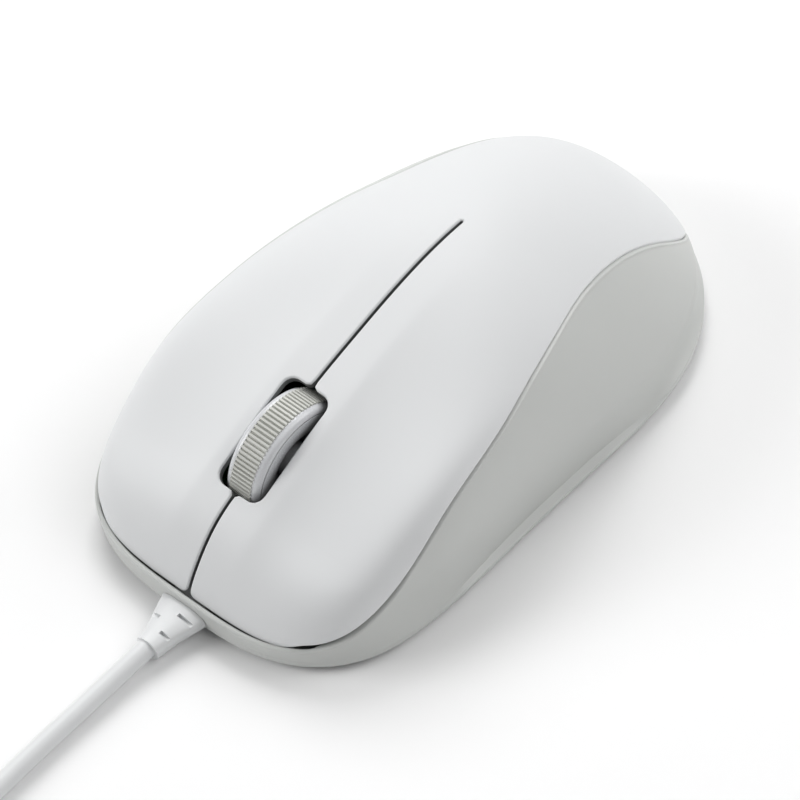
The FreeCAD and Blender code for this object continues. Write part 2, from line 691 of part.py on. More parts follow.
# ================================================================ electronics
def make_circuit_board():
    board = rounded_plate(-BOARD_HALF, BOARD_HALF, BOARD_FRONT, BOARD_REAR, BOARD_Z, BOARD_TOP, 2.0)
    board = board.cut(box(-NOTCH_HALF, NOTCH_HALF, -60, NOTCH_REAR, 0, 20))
    board = board.cut(rounded_plate(-3.2, 3.2, SENSOR_Y - 3.2, SENSOR_Y + 3.2, 0, 20, 1.0))
    for x, y in BOARD_POST:
        board = board.cut(cylinder(x, y, 0, 1.1, 20))
    for side in (-1, 1):
        for d in (-5.0, 0.0, 5.0):
            board = board.cut(pin_hole(side * SWITCH_X, SWITCH_Y + d, 0.5))
    for x in KEY_PIN_X:
        for y in (AXLE_Y - 2.2, AXLE_Y + 2.2):
            board = board.cut(pin_hole(x, y, 0.45))
    for side in (-1, 1):
        for d in (-1.27, 1.27):
            board = board.cut(pin_hole(side * EYE_X, EYE_Y + d, 0.45))
    for i in range(CHIP_PINS):
        for side in (-1, 1):
            board = board.cut(pin_hole(side * CHIP_PIN_X, chip_pin_y(i), 0.4))
    return board


def pin_hole(x, y, half):
    return box(x - half, x + half, y - half, y + half, 0, 20)


def chip_pin_y(i):
    return SENSOR_Y - 4.6 + 1.3 * i


def make_eye(side):
    """Side-looking lamp or receiver with a round lens that faces the wheel."""
    x0 = min(side * (EYE_X - 1.2), side * (EYE_X + 1.2))
    body = box(x0, x0 + 2.4, EYE_Y - 2.2, EYE_Y + 2.2, BOARD_TOP + 3.6, AXLE_Z + 1.6)
    lens = Part.makeSphere(1.1, V(side * (EYE_X - 1.1), EYE_Y, AXLE_Z - 0.6))
    legs = [box(side * EYE_X - 0.25, side * EYE_X + 0.25, EYE_Y + d - 0.25, EYE_Y + d + 0.25,
                BOARD_Z - 1.2, BOARD_TOP + 4.0) for d in (-1.27, 1.27)]
    return join([body, lens] + legs)


def make_sensor_chip():
    body = rounded_plate(-4.6, 4.6, SENSOR_Y - 5.6, SENSOR_Y + 5.6, BOARD_TOP, BOARD_TOP + 2.4, 0.4)
    eye = cylinder(0, SENSOR_Y, BOARD_Z + 0.2, 2.4, 1.3)
    pins = []
    for i in range(CHIP_PINS):
        for side in (-1, 1):
            y = chip_pin_y(i)
            x0 = min(side * 4.4, side * (CHIP_PIN_X + 0.2))
            pins.append(box(x0, x0 + 1.4, y - 0.2, y + 0.2, BOARD_TOP + 0.9, BOARD_TOP + 1.2))
            x = side * CHIP_PIN_X
            pins.append(box(x - 0.2, x + 0.2, y - 0.2, y + 0.2, BOARD_Z - 0.8, BOARD_TOP + 1.2))
    return join([body, eye] + pins)


def make_lens_plate():
    """Clear plate over the window with the imaging lens and the light pipe's wedge."""
    plate = rounded_plate(-8.0, 8.0, SENSOR_Y - 7.5, SENSOR_Y + 9.5, FLOOR_Z, FLOOR_Z + 1.2, 1.0)
    lens = Part.makeSphere(2.2, V(0, SENSOR_Y, FLOOR_Z + 1.0)).common(
        box(-5, 5, SENSOR_Y - 5, SENSOR_Y + 5, FLOOR_Z - 1.0, BOARD_Z))
    barrel = cylinder(0, SENSOR_Y, FLOOR_Z + 0.5, 2.6, 1.6)
    wedge = Part.Face(Part.makePolygon([
        V(-3, SENSOR_Y + 3.0, FLOOR_Z + 0.6), V(-3, SENSOR_Y + 9.0, FLOOR_Z + 0.6),
        V(-3, SENSOR_Y + 9.0, FLOOR_Z + 4.2), V(-3, SENSOR_Y + 7.0, FLOOR_Z + 4.2),
        V(-3, SENSOR_Y + 3.0, FLOOR_Z + 0.6)])).extrude(V(6, 0, 0))
    return join([plate, lens, barrel, wedge])


def make_sensor_led():
    """Five millimetre lamp lying on its side, with two bent legs."""
    dome = Part.makeSphere(2.45, V(0, LED_TIP_Y + 2.45, LED_Z))
    barrel = cylinder(0, LED_TIP_Y + 2.45, LED_Z, 2.45, 5.6, Y_AXIS)
    rim = cylinder(0, LED_TIP_Y + 8.05, LED_Z, 2.8, 0.9, Y_AXIS)
    legs = []
    for x in (-1.27, 1.27):
        legs.append(box(x - 0.25, x + 0.25, LED_TIP_Y + 8.8, LED_TIP_Y + 11.0, LED_Z - 0.25, LED_Z + 0.25))
        legs.append(box(x - 0.25, x + 0.25, LED_TIP_Y + 10.5, LED_TIP_Y + 11.0, BOARD_TOP, LED_Z + 0.25))
    return join([dome, barrel, rim] + legs)


def make_led_clip():
    """Saddle that holds the lamp over the chip."""
    y0 = LED_TIP_Y + 3.0
    saddle = box(-4.2, 4.2, y0, y0 + 4.2, BOARD_TOP, LED_Z + 3.6)
    saddle = saddle.cut(cylinder(0, y0 - 1, LED_Z, 2.55, 7, Y_AXIS))
    saddle = saddle.cut(box(-1.6, 1.6, y0 - 1, y0 + 5, BOARD_TOP - 1, LED_Z))
    hood = box(-4.2, 4.2, SENSOR_Y - 4.0, y0 + 0.5, BOARD_TOP + 2.5, BOARD_TOP + 3.4)
    hood = hood.cut(box(-2.7, 2.7, SENSOR_Y + 5.8, y0 + 2, BOARD_TOP, 20))
    return join([saddle, hood])


def make_controller_chip():
    x0, y0 = -16.0, -1.0
    body = box(x0, x0 + 7.5, y0, y0 + 10.0, BOARD_TOP + 0.1, BOARD_TOP + 1.8)
    pins = []
    for i in range(CHIP_PINS):
        y = y0 + 0.7 + 1.2 * i
        pins.append(box(x0 - 0.9, x0 + 8.4, y - 0.2, y + 0.2, BOARD_TOP, BOARD_TOP + 0.3))
    return join([body] + pins)


def make_crystal():
    can = box(11.0, 14.2, -4.0, 6.0, BOARD_TOP, BOARD_TOP + 3.4)
    upright = [e for e in can.Edges if abs(e.tangentAt(e.FirstParameter).z) > 0.9]
    return can.makeFillet(1.5, upright)


def make_capacitors():
    cans = []
    for x, y in ((17.0, -12.0), (12.0, -14.5)):
        can = cylinder(x, y, BOARD_TOP, 2.0, 5.4)
        rim = [e for e in can.Edges if e.BoundBox.ZMin > BOARD_TOP + 5.3]
        cans.append(can.makeFillet(0.3, rim))
    return group(cans)


def make_resistors():
    chips = []
    for i in range(4):
        chips.append(box(7.2, 9.2, -12.5 + 3.0 * i, -11.3 + 3.0 * i, BOARD_TOP, BOARD_TOP + 0.5))
    return group(chips)


# ================================================================ the cord's inner end


def make_cable_header():
    base = box(HEADER_X - 4.6, HEADER_X + 4.6, HEADER_Y - 1.7, HEADER_Y + 1.7, BOARD_TOP, 10.4)
    cavity = box(HEADER_X - 3.9, HEADER_X + 3.9, HEADER_Y - 3.0, HEADER_Y + 1.0, 9.0, 12)
    header = base.cut(cavity)
    posts = [cylinder(wire_x(i), HEADER_Y - 0.3, BOARD_TOP + 0.2, 0.25, 1.9) for i in range(WIRE_COUNT)]
    return join([header] + posts)


def wire_x(i):
    return HEADER_X + WIRE_PITCH * (i - (WIRE_COUNT - 1) / 2)


def make_cable_plug():
    plug = box(HEADER_X - 3.8, HEADER_X + 3.8, HEADER_Y - 2.6, HEADER_Y + 0.9, 9.05, 11.6)
    for i in range(WIRE_COUNT):
        plug = plug.cut(cylinder(wire_x(i), HEADER_Y - 0.3, 8, 0.3, 2.4))
    return plug


def tube(points, radius, name):
    """Round tube along straight runs joined by tangent arcs."""
    pts = [V(*p) for p in points]
    edges = []
    last = pts[0]
    radii = []
    for i in range(1, len(pts) - 1):
        back = pts[i - 1] - pts[i]
        ahead = pts[i + 1] - pts[i]
        cut = 0.45 * min(back.Length, ahead.Length)
        turn = math.pi - back.getAngle(ahead)
        radii.append(cut / math.tan(turn / 2))
        back.normalize()
        ahead.normalize()
        start = pts[i] + back * cut
        end = pts[i] + ahead * cut
        inward = back + ahead
        inward.normalize()
        sag = radii[-1] * (1 / math.cos(turn / 2) - 1)
        edges.append(Part.LineSegment(last, start).toShape())
        edges.append(Part.Arc(start, pts[i] + inward * sag, end).toShape())
        last = end
    edges.append(Part.LineSegment(last, pts[-1]).toShape())
    path = Part.Wire(edges)
    along = pts[1] - pts[0]
    profile = Part.Wire([Part.makeCircle(radius, pts[0], along)])
    solid = path.makePipeShell([profile], True, False)
    expected = math.pi * radius * radius * path.Length
    print("%s: length %.1f mm, volume / expected %.4f, radii %s" % (
        name, path.Length, solid.Volume / expected, [round(r, 1) for r in radii]))
    return solid


def make_signal_wires():
    wires = []
    for i in range(WIRE_COUNT):
        lane = i - (WIRE_COUNT - 1) / 2
        route = [
            (-0.5 + 0.2 * lane, SHEATH_END - 0.3, SHEATH_Z + 0.7 * lane),
            (-3.4, SHEATH_END - 0.6, 5.2 + 0.75 * lane),
            (-8.6 + 0.2 * lane, -44.3, 5.9 + 0.85 * lane),
            (wire_x(i) + 1.0, -42.6, 8.6),
            (wire_x(i), HEADER_Y - 2.8, 10.2),
        ]
        wires.append(tube(route, WIRE_R, "signal wire %d" % (i + 1)))
    return group(wires)


# ================================================================ strain relief and cord


def oval(y, x, z, half_x, half_z):
    """Closed rounded outline in a plane of constant y."""
    points = []
    for i in range(24):
        turn = 2 * math.pi * i / 24
        c = math.cos(turn)
        s = math.sin(turn)
        px = x + half_x * math.copysign(abs(c) ** 0.8, c)
        pz = z + half_z * math.copysign(abs(s) ** 0.8, s)
        points.append(V(px, y, pz))
    curve = Part.BSplineCurve()
    curve.interpolate(Points=points, PeriodicFlag=True)
    return Part.Wire([curve.toShape()])


def make_strain_relief():
    outside = Part.makeLoft([oval(*step) for step in RELIEF_STEPS], True, False)
    for y, side in ((-51.3, 1), (-53.2, -1), (-55.1, 1)):
        x0 = 0.9 if side > 0 else -6.0
        outside = outside.cut(box(x0, x0 + 5.1, y - 0.3, y + 0.3, 3.3, 8))
    half = RELIEF_SLOT_HALF - 0.1
    neck = box(-half, half, -49.6, -47.1, BASE_Z + 0.1, NECK_TOP)
    bridge = box(-half, half, -47.2, COLLAR_FRONT + 0.2, FLOOR_Z + 0.1, NECK_TOP)
    collar = box(-4.3, 4.3, COLLAR_FRONT, COLLAR_REAR, FLOOR_Z + 0.1, COLLAR_TOP)
    sleeve = cylinder(0, COLLAR_FRONT + 0.4, SHEATH_Z, SLEEVE_R, SHEATH_START - COLLAR_FRONT - 0.4, Y_AXIS)
    return join([outside, neck, bridge, collar, sleeve])


def make_cord_sheath():
    """The cord's inner end, out of the strain relief and cut back to its wires."""
    return cylinder(0, SHEATH_START, SHEATH_Z, CORD_R - 0.1, SHEATH_END - SHEATH_START, Y_AXIS)


def make_cord_coil():
    """The turns of the put-away length, as one ring."""
    inner = COIL_INNER_TURN - CORD_R
    outer = COIL_INNER_TURN + CORD_D * COIL_TURNS_WIDE - CORD_R
    height = CORD_D * COIL_LAYERS
    ring = cylinder(COIL_X, COIL_Y, TIE_T, outer, height)
    ring = ring.cut(cylinder(COIL_X, COIL_Y, 0, inner, height + 2))
    return ring.makeFillet(1.2, [e for e in ring.Edges if len(e.Vertexes) == 1 and e.Length > 20])


def make_cord_tie():
    """Band round the bundle of turns at the coil's far side."""
    near = COIL_Y - COIL_INNER_TURN + CORD_R
    far = near - CORD_D * COIL_TURNS_WIDE
    top = TIE_T + CORD_D * COIL_LAYERS
    outer = box(COIL_X - 3, COIL_X + 3, far - 0.75, near + 1.1, 0, top + 0.6)
    along = [e for e in outer.Edges if abs(e.tangentAt(e.FirstParameter).x) > 0.9]
    outer = outer.makeFillet(0.6, along)
    return outer.cut(box(COIL_X - 4, COIL_X + 4, far - 0.1, near + 0.5, TIE_T - 0.01, top + 0.05))


def make_plug_relief():
    cone = Part.makeCone(2.1, 3.3, 7.5, V(PLUG_X, PLUG_START, PLUG_Z), Y_AXIS)
    for i in range(3):
        y = PLUG_START + 1.4 + 2.0 * i
        r = 2.1 + 0.16 * (y - PLUG_START)
        ring = cylinder(PLUG_X, y, PLUG_Z, 6, 0.7, Y_AXIS)
        cone = cone.cut(ring.cut(cylinder(PLUG_X, y - 1, PLUG_Z, r - 0.35, 3, Y_AXIS)))
    return cone


def make_plug_grip():
    grip = box(PLUG_X - 7.8, PLUG_X + 7.8, GRIP_START, SHELL_START, PLUG_Z - 4.0, PLUG_Z + 4.0)
    grip = grip.makeFillet(1.6, grip.Edges)
    grip = grip.cut(box(PLUG_X - 6.05, PLUG_X + 6.05, SHELL_START - 5, SHELL_START + 1,
                        PLUG_Z - 2.3, PLUG_Z + 2.3))
    for side in (-1, 1):
        for i in range(4):
            y = GRIP_START + 5.0 + 2.4 * i
            x0 = PLUG_X + side * 7.8 - 0.5
            grip = grip.cut(box(x0, x0 + 1.0, y, y + 1.0, PLUG_Z - 2.2, PLUG_Z + 2.2))
    return grip


def make_usb_shell():
    shell = box(PLUG_X - 6, PLUG_X + 6, SHELL_START - 5, SHELL_END, PLUG_Z - 2.25, PLUG_Z + 2.25)
    shell = shell.cut(box(PLUG_X - 5.7, PLUG_X + 5.7, SHELL_START - 4.7, SHELL_END + 1,
                          PLUG_Z - 1.95, PLUG_Z + 1.95))
    for x in (-3.2, 3.2):
        shell = shell.cut(box(PLUG_X + x - 1.2, PLUG_X + x + 1.2, SHELL_START + 5.0, SHELL_START + 7.2,
                              PLUG_Z - 5, PLUG_Z + 5))
    return shell


def make_usb_tongue():
    return box(PLUG_X - 5.65, PLUG_X + 5.65, SHELL_START - 4.6, SHELL_END - 0.6,
               PLUG_Z - 1.9, PLUG_Z - 0.1)


def make_usb_contacts():
    strips = []
    for i in range(4):
        x = PLUG_X - 3.5 + i * 7.0 / 3
        y0 = SHELL_START + 2.0
        y1 = SHELL_END - 1.4
        strips.append(box(x - 0.5, x + 0.5, y0, y1, PLUG_Z - 0.1, PLUG_Z + 0.12))
    return group(strips)


# ================================================================ build
cover_inner, shell = cover_shell()
left_button = make_button(shell, cover_inner)
switch = make_switch()
plunger = make_plunger()

save("top_cover", make_top_cover(shell, cover_inner))
save("left_button", left_button)
save("right_button", left_button.mirror(V(0, 0, 0), X_AXIS))
save("side_frame", make_side_frame())
save("bottom_case", make_bottom_case())
save("front_glide_foot", foot_pad(-FOOT_Y, 0))
save("rear_glide_foot", foot_pad(FOOT_Y, 0))
save("case_screws", make_case_screws())
save("frame_screws", make_frame_screws())
save("board_screws", make_board_screws())
save("ballast_weight", make_ballast())
save("wheel_tyre", make_wheel_tyre())
save("wheel_hub", make_wheel_hub())
save("wheel_carrier", make_wheel_carrier())
save("click_spring", make_click_spring())
save("left_switch", switch)
save("right_switch", switch.mirror(V(0, 0, 0), X_AXIS))
save("left_plunger", plunger)
save("right_plunger", plunger.mirror(V(0, 0, 0), X_AXIS))
save("middle_switch", make_middle_switch())
save("middle_plunger", make_middle_plunger())
save("circuit_board", make_circuit_board())
save("wheel_emitter", make_eye(1))
save("wheel_detector", make_eye(-1))
save("sensor_chip", make_sensor_chip())
save("lens_plate", make_lens_plate())
save("sensor_led", make_sensor_led())
save("led_clip", make_led_clip())
save("controller_chip", make_controller_chip())
save("crystal", make_crystal())
save("capacitors", make_capacitors())
save("resistors", make_resistors())
save("cable_header", make_cable_header())
save("cable_plug", make_cable_plug())
save("signal_wires", make_signal_wires())
save("strain_relief", make_strain_relief())
save("cord_sheath", make_cord_sheath())
save("cord_lead", tube(LEAD_ROUTE, CORD_R, "cord lead"))
save("cord_coil", make_cord_coil())
save("cord_tail", tube(TAIL_ROUTE, CORD_R, "cord tail"))
save("cord_tie", make_cord_tie())
save("plug_relief", make_plug_relief())
save("plug_grip", make_plug_grip())
save("usb_shell", make_usb_shell())
save("usb_tongue", make_usb_tongue())
save("usb_contacts", make_usb_contacts())
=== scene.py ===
import math

import bpy
import numpy as np
from mathutils import Matrix, Vector


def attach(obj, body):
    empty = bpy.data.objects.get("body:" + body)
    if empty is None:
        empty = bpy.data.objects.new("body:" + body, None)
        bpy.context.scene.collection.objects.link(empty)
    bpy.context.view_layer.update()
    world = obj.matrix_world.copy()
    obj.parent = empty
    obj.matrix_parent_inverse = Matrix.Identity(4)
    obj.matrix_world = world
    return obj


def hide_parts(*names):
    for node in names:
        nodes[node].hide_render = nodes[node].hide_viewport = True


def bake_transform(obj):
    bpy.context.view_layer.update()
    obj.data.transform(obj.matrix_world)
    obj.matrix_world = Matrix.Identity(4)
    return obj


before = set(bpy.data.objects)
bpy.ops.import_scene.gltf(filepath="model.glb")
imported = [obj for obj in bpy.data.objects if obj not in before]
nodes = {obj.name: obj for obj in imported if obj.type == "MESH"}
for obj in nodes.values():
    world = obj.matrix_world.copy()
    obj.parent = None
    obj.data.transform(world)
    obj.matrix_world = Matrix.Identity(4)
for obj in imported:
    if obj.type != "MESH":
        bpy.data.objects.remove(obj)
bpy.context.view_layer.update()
MM = 0.001

# ================================================================ camera
AZIMUTH, ELEVATION, ROLL = 43.8, 51.9, -3.45     # degrees
TARGET = Vector((0, 0, 0.015))
DISTANCE = 0.874
LENS, SENSOR = 274.5, 36                         # mm
NEAR, FAR = 0.05, 20
AIM_RIGHT, AIM_UP = -0.00135, -0.00835           # how far the view's middle is from the target


def make_camera():
    a, e, r = (math.radians(v) for v in (AZIMUTH, ELEVATION, ROLL))
    back = Vector((math.sin(a) * math.cos(e), -math.cos(a) * math.cos(e), math.sin(e)))
    right = Vector((math.cos(a), math.sin(a), 0))
    up = back.cross(right)
    across = right * math.cos(r) + up * math.sin(r)
    above = up * math.cos(r) - right * math.sin(r)
    place = TARGET + back * DISTANCE
    aim = TARGET + across * AIM_RIGHT + above * AIM_UP
    back = (place - aim).normalized()
    across = (across - back * across.dot(back)).normalized()
    above = back.cross(across)
    data = bpy.data.cameras.new("camera")
    data.lens = LENS
    data.sensor_width = SENSOR
    data.clip_start = NEAR
    data.clip_end = FAR
    camera = bpy.data.objects.new("camera", data)
    bpy.context.scene.collection.objects.link(camera)
    turn = Matrix((across, above, back)).transposed().to_4x4()
    camera.matrix_world = Matrix.Translation(place) @ turn
    bpy.context.scene.camera = camera


make_camera()


# ================================================================ materials
NOISE_LOW, NOISE_HIGH = 0.3, 0.7                 # where most of a noise texture's values lie
GRAIN_HEIGHT = 0.0001                            # m, full height of a moulded or drawn grain
TRACK_HEIGHT = 0.00005
BROAD_SCALE = 60.0                               # cells per metre of the mottling in plastic
ROUGH_SPREAD = 0.06
COAT_ROUGH = 0.15
WIRES_FROM, WIRES_TO = -0.018, -0.012            # m along x


def principled(name):
    material = bpy.data.materials.new(name)
    material.use_nodes = True
    tree = material.node_tree
    return material, tree, tree.nodes["Principled BSDF"]


def link(tree, a, out, b, inp):
    tree.links.new(a.outputs[out], b.inputs[inp])


def texture(tree, kind, scale, **values):
    """A texture node in object space; scale is in cells per metre."""
    where = tree.nodes.new("ShaderNodeTexCoord")
    node = tree.nodes.new(kind)
    link(tree, where, "Object", node, "Vector")
    node.inputs["Scale"].default_value = scale
    for key, value in values.items():
        node.inputs[key].default_value = value
    return node


def spread(tree, source, out, low, high):
    """Map the middle of a texture's factor onto the range low..high."""
    node = tree.nodes.new("ShaderNodeMapRange")
    node.inputs["From Min"].default_value = NOISE_LOW
    node.inputs["From Max"].default_value = NOISE_HIGH
    node.inputs["To Min"].default_value = low
    node.inputs["To Max"].default_value = high
    link(tree, source, out, node, "Value")
    return node


def shade(color, factor):
    return tuple(min(c * factor, 1.0) for c in color) + (1.0,)


def bumped(tree, shader, source, out, strength, height):
    bump = tree.nodes.new("ShaderNodeBump")
    bump.inputs["Strength"].default_value = strength
    bump.inputs["Distance"].default_value = height
    link(tree, source, out, bump, "Height")
    link(tree, bump, "Normal", shader, "Normal")


def mixed(tree, shader, source, first, second):
    """Base colour between two colours, by a texture's factor."""
    mix = tree.nodes.new("ShaderNodeMix")
    mix.data_type = "RGBA"
    mix.inputs["A"].default_value = first
    mix.inputs["B"].default_value = second
    link(tree, source, "Fac", mix, "Factor")
    tree.links.new(mix.outputs["Result"], shader.inputs["Base Color"])


def plastic(name, color, rough, grain=9000.0, depth=0.03, mottle=0.015, specular=0.5, coat=0.0):
    """Moulded plastic: fine spark-erosion grain, faint mottling, uneven gloss."""
    material, tree, shader = principled(name)
    broad = texture(tree, "ShaderNodeTexNoise", BROAD_SCALE, Detail=3.0, Roughness=0.5)
    mixed(tree, shader, broad, shade(color, 1 - mottle), shade(color, 1 + mottle))
    fine = texture(tree, "ShaderNodeTexNoise", grain, Detail=2.0, Roughness=0.55)
    gloss = spread(tree, fine, "Fac", rough - ROUGH_SPREAD, rough + ROUGH_SPREAD)
    link(tree, gloss, "Result", shader, "Roughness")
    bumped(tree, shader, fine, "Fac", depth, GRAIN_HEIGHT)
    shader.inputs["Specular IOR Level"].default_value = specular
    if coat:
        shader.inputs["Coat Weight"].default_value = coat
        shader.inputs["Coat Roughness"].default_value = COAT_ROUGH
    return material


def metal(name, color, rough, grain=3000.0):
    """Plated or stamped metal with fine drawing marks."""
    material, tree, shader = principled(name)
    shader.inputs["Metallic"].default_value = 1.0
    marks = texture(tree, "ShaderNodeTexNoise", grain, Detail=4.0, Roughness=0.7)
    mixed(tree, shader, marks, shade(color, 0.9), shade(color, 1.05))
    gloss = spread(tree, marks, "Fac", rough * 0.7, rough * 1.3)
    link(tree, gloss, "Result", shader, "Roughness")
    bumped(tree, shader, marks, "Fac", 0.08, GRAIN_HEIGHT)
    return material


def board_finish():
    """Green solder mask over copper tracks."""
    material, tree, shader = principled("board_green")
    tracks = texture(tree, "ShaderNodeTexBrick", 260.0)
    tracks.inputs["Color1"].default_value = (0.012, 0.10, 0.035, 1)
    tracks.inputs["Color2"].default_value = (0.016, 0.13, 0.045, 1)
    tracks.inputs["Mortar"].default_value = (0.03, 0.22, 0.07, 1)
    tracks.inputs["Mortar Size"].default_value = 0.03
    link(tree, tracks, "Color", shader, "Base Color")
    cloud = texture(tree, "ShaderNodeTexNoise", 900.0, Detail=3.0)
    gloss = spread(tree, cloud, "Fac", 0.22, 0.38)
    link(tree, gloss, "Result", shader, "Roughness")
    bumped(tree, shader, tracks, "Fac", 0.25, TRACK_HEIGHT)
    return material


def clear_finish(name, color, rough):
    """Clear moulding with faint flow marks."""
    material, tree, shader = principled(name)
    shader.inputs["Transmission Weight"].default_value = 0.85
    shader.inputs["IOR"].default_value = 1.49
    cloud = texture(tree, "ShaderNodeTexNoise", 700.0, Detail=2.0)
    mixed(tree, shader, cloud, shade(color, 0.95), shade(color, 1.0))
    gloss = spread(tree, cloud, "Fac", rough, rough + 0.06)
    link(tree, gloss, "Result", shader, "Roughness")
    return material


def wire_finish():
    """Insulation colours, one for each lane of wires between two values of x."""
    material, tree, shader = principled("wire_colours")
    where = tree.nodes.new("ShaderNodeTexCoord")
    split = tree.nodes.new("ShaderNodeSeparateXYZ")
    link(tree, where, "Object", split, "Vector")
    lane = tree.nodes.new("ShaderNodeMapRange")
    lane.inputs["From Min"].default_value = WIRES_FROM
    lane.inputs["From Max"].default_value = WIRES_TO
    link(tree, split, "X", lane, "Value")
    ramp_node = tree.nodes.new("ShaderNodeValToRGB")
    ramp_node.color_ramp.interpolation = "CONSTANT"
    stops = ((0.0, (0.5, 0.01, 0.01, 1)), (0.25, (0.7, 0.7, 0.68, 1)),
             (0.5, (0.01, 0.22, 0.03, 1)), (0.75, (0.02, 0.02, 0.02, 1)))
    while len(ramp_node.color_ramp.elements) < len(stops):
        ramp_node.color_ramp.elements.new(0.5)
    for element, (place, color) in zip(ramp_node.color_ramp.elements, stops):
        element.position = place
        element.color = color
    link(tree, lane, "Result", ramp_node, "Fac")
    link(tree, ramp_node, "Color", shader, "Base Color")
    cloud = texture(tree, "ShaderNodeTexNoise", 2500.0, Detail=2.0)
    gloss = spread(tree, cloud, "Fac", 0.35, 0.5)
    link(tree, gloss, "Result", shader, "Roughness")
    return material


WHITE = (0.735, 0.745, 0.752)
GREY = (0.560, 0.572, 0.556)
M = {
    "white_shell": plastic("white_shell", WHITE, 0.56, grain=7000, depth=0.05, mottle=0.006,
                           specular=0.35),
    "grey_shell": plastic("grey_shell", GREY, 0.36, grain=8000, depth=0.04, mottle=0.008,
                          specular=0.5),
    # painted shade: dark grey for the shell's inside and the walls of the slit, the slot and the
    # lower edge, standing in for the shade in them, not a colour of the plastic
    "shell_painted_shade": plastic("shell_painted_shade", (0.16, 0.165, 0.165), 0.6, grain=5000),
    "base_plastic": plastic("base_plastic", (0.50, 0.51, 0.50), 0.5, grain=5000, depth=0.12),
    "foot_film": plastic("foot_film", (0.045, 0.045, 0.05), 0.32, grain=4000, depth=0.05),
    "steel": metal("steel", (0.62, 0.62, 0.63), 0.28),
    "wheel_plastic": plastic("wheel_plastic", (0.66, 0.67, 0.69), 0.26, grain=6000, depth=0.02,
                             mottle=0.01, coat=0.35),
    "tyre_band": plastic("tyre_band", (0.60, 0.605, 0.57), 0.46, grain=6000, depth=0.05, mottle=0.02),
    "inner_white": plastic("inner_white", (0.55, 0.55, 0.55), 0.5),
    "carrier_dark": plastic("carrier_dark", (0.035, 0.036, 0.038), 0.5),
    "spring_wire": metal("spring_wire", (0.55, 0.55, 0.56), 0.3, grain=6000),
    "switch_body": plastic("switch_body", (0.035, 0.035, 0.038), 0.4),
    "plunger_red": plastic("plunger_red", (0.45, 0.02, 0.02), 0.35),
    "board_green": board_finish(),
    "chip_black": plastic("chip_black", (0.02, 0.02, 0.022), 0.45, grain=5000, depth=0.15),
    "clear_plastic": clear_finish("clear_plastic", (0.92, 0.95, 0.96), 0.05),
    "lamp_red": clear_finish("lamp_red", (0.85, 0.06, 0.05), 0.08),
    "eye_dark": plastic("eye_dark", (0.03, 0.022, 0.03), 0.15, coat=0.6),
    "can_metal": metal("can_metal", (0.7, 0.7, 0.69), 0.25),
    "cord_jacket": plastic("cord_jacket", (0.72, 0.73, 0.735), 0.40, grain=2600, depth=0.05,
                           mottle=0.012),
    "tie_white": plastic("tie_white", (0.72, 0.72, 0.71), 0.4, grain=3000, depth=0.1),
    "wire_colours": wire_finish(),
    "contact_gold": metal("contact_gold", (0.83, 0.60, 0.22), 0.2),
}


def finish_node(name, material):
    for place in nodes[name].material_slots:
        place.material = M[material]


CAD_FINISH = {
    "bottom_case": "base_plastic", "front_glide_foot": "foot_film", "rear_glide_foot": "foot_film",
    "case_screws": "steel", "frame_screws": "steel", "board_screws": "steel",
    "ballast_weight": "can_metal", "wheel_carrier": "carrier_dark", "click_spring": "spring_wire",
    "left_switch": "switch_body", "right_switch": "switch_body", "left_plunger": "plunger_red",
    "right_plunger": "plunger_red", "middle_switch": "switch_body", "middle_plunger": "plunger_red",
    "circuit_board": "board_green", "wheel_emitter": "clear_plastic", "wheel_detector": "eye_dark",
    "sensor_chip": "chip_black", "lens_plate": "clear_plastic", "sensor_led": "lamp_red",
    "led_clip": "switch_body", "controller_chip": "chip_black", "crystal": "can_metal",
    "capacitors": "can_metal", "resistors": "chip_black", "cable_header": "inner_white",
    "cable_plug": "inner_white", "signal_wires": "wire_colours", "cord_sheath": "cord_jacket",
    "plug_relief": "cord_jacket", "plug_grip": "cord_jacket", "usb_shell": "can_metal",
    "usb_tongue": "inner_white", "usb_contacts": "contact_gold", "wheel_tyre": "tyre_band",
    "wheel_hub": "wheel_plastic", "strain_relief": "cord_jacket", "cord_tie": "tie_white",
}
for node_name, finish in CAD_FINISH.items():
    finish_node(node_name, finish)

# ================================================================ the cord
CORD_R = 1.5
COIL_X, COIL_Y = -25.3, -126.0
TURN_STEP = 3.0
OUTER_TURN = 26.5
LAYER_LOW, LAYER_HIGH = 2.0, 5.0
TURNS = 10.5
DOWN_TURNS, UP_TURNS = range(1, 5), range(6, 10)  # where a turn moves in or out by one cord
TURN_JOG = 0.25                                   # the last part of a turn, in which it moves
CROSS_IN, CROSS_LIFT, CROSS_DROP = 1.5, 2.8, 2.2  # where the end crosses over the coil
POINTS_PER_TURN = 16
LEAD_ROUTE = ((0.4, -56.5, 2.2), (0.2, -67.5, 1.7), (0.0, -80.0, 1.55), (0.3, -92.5, 1.6),
              (1.0, -104.0, 1.8), (1.2, -113.5, 2.0))
TAIL_ROUTE = ((-51.8, -115.5, 4.8), (-52.1, -101.5, 4.1))


def step(value, start, end):
    t = min(max((value - start) / (end - start), 0.0), 1.0)
    return t * t * (3 - 2 * t)


def coil_point(t):
    """Point t turns along the coil: down the lower layer inward, up the upper layer outward."""
    inward = sum(step(t, k - TURN_JOG, k) for k in DOWN_TURNS)
    outward = sum(step(t, k - TURN_JOG, k) for k in UP_TURNS)
    radius = OUTER_TURN - TURN_STEP * (inward - outward)
    radius += CROSS_IN * (step(t, 10.3, TURNS) - step(t, 9.8, 10.1))
    z = LAYER_LOW + (LAYER_HIGH - LAYER_LOW) * step(t, 4.7, 5.0)
    z += CROSS_LIFT * step(t, 9.75, 10.0) - CROSS_DROP * step(t, 10.3, TURNS)
    turn = -2 * math.pi * t
    return (COIL_X + radius * math.cos(turn), COIL_Y + radius * math.sin(turn), z)


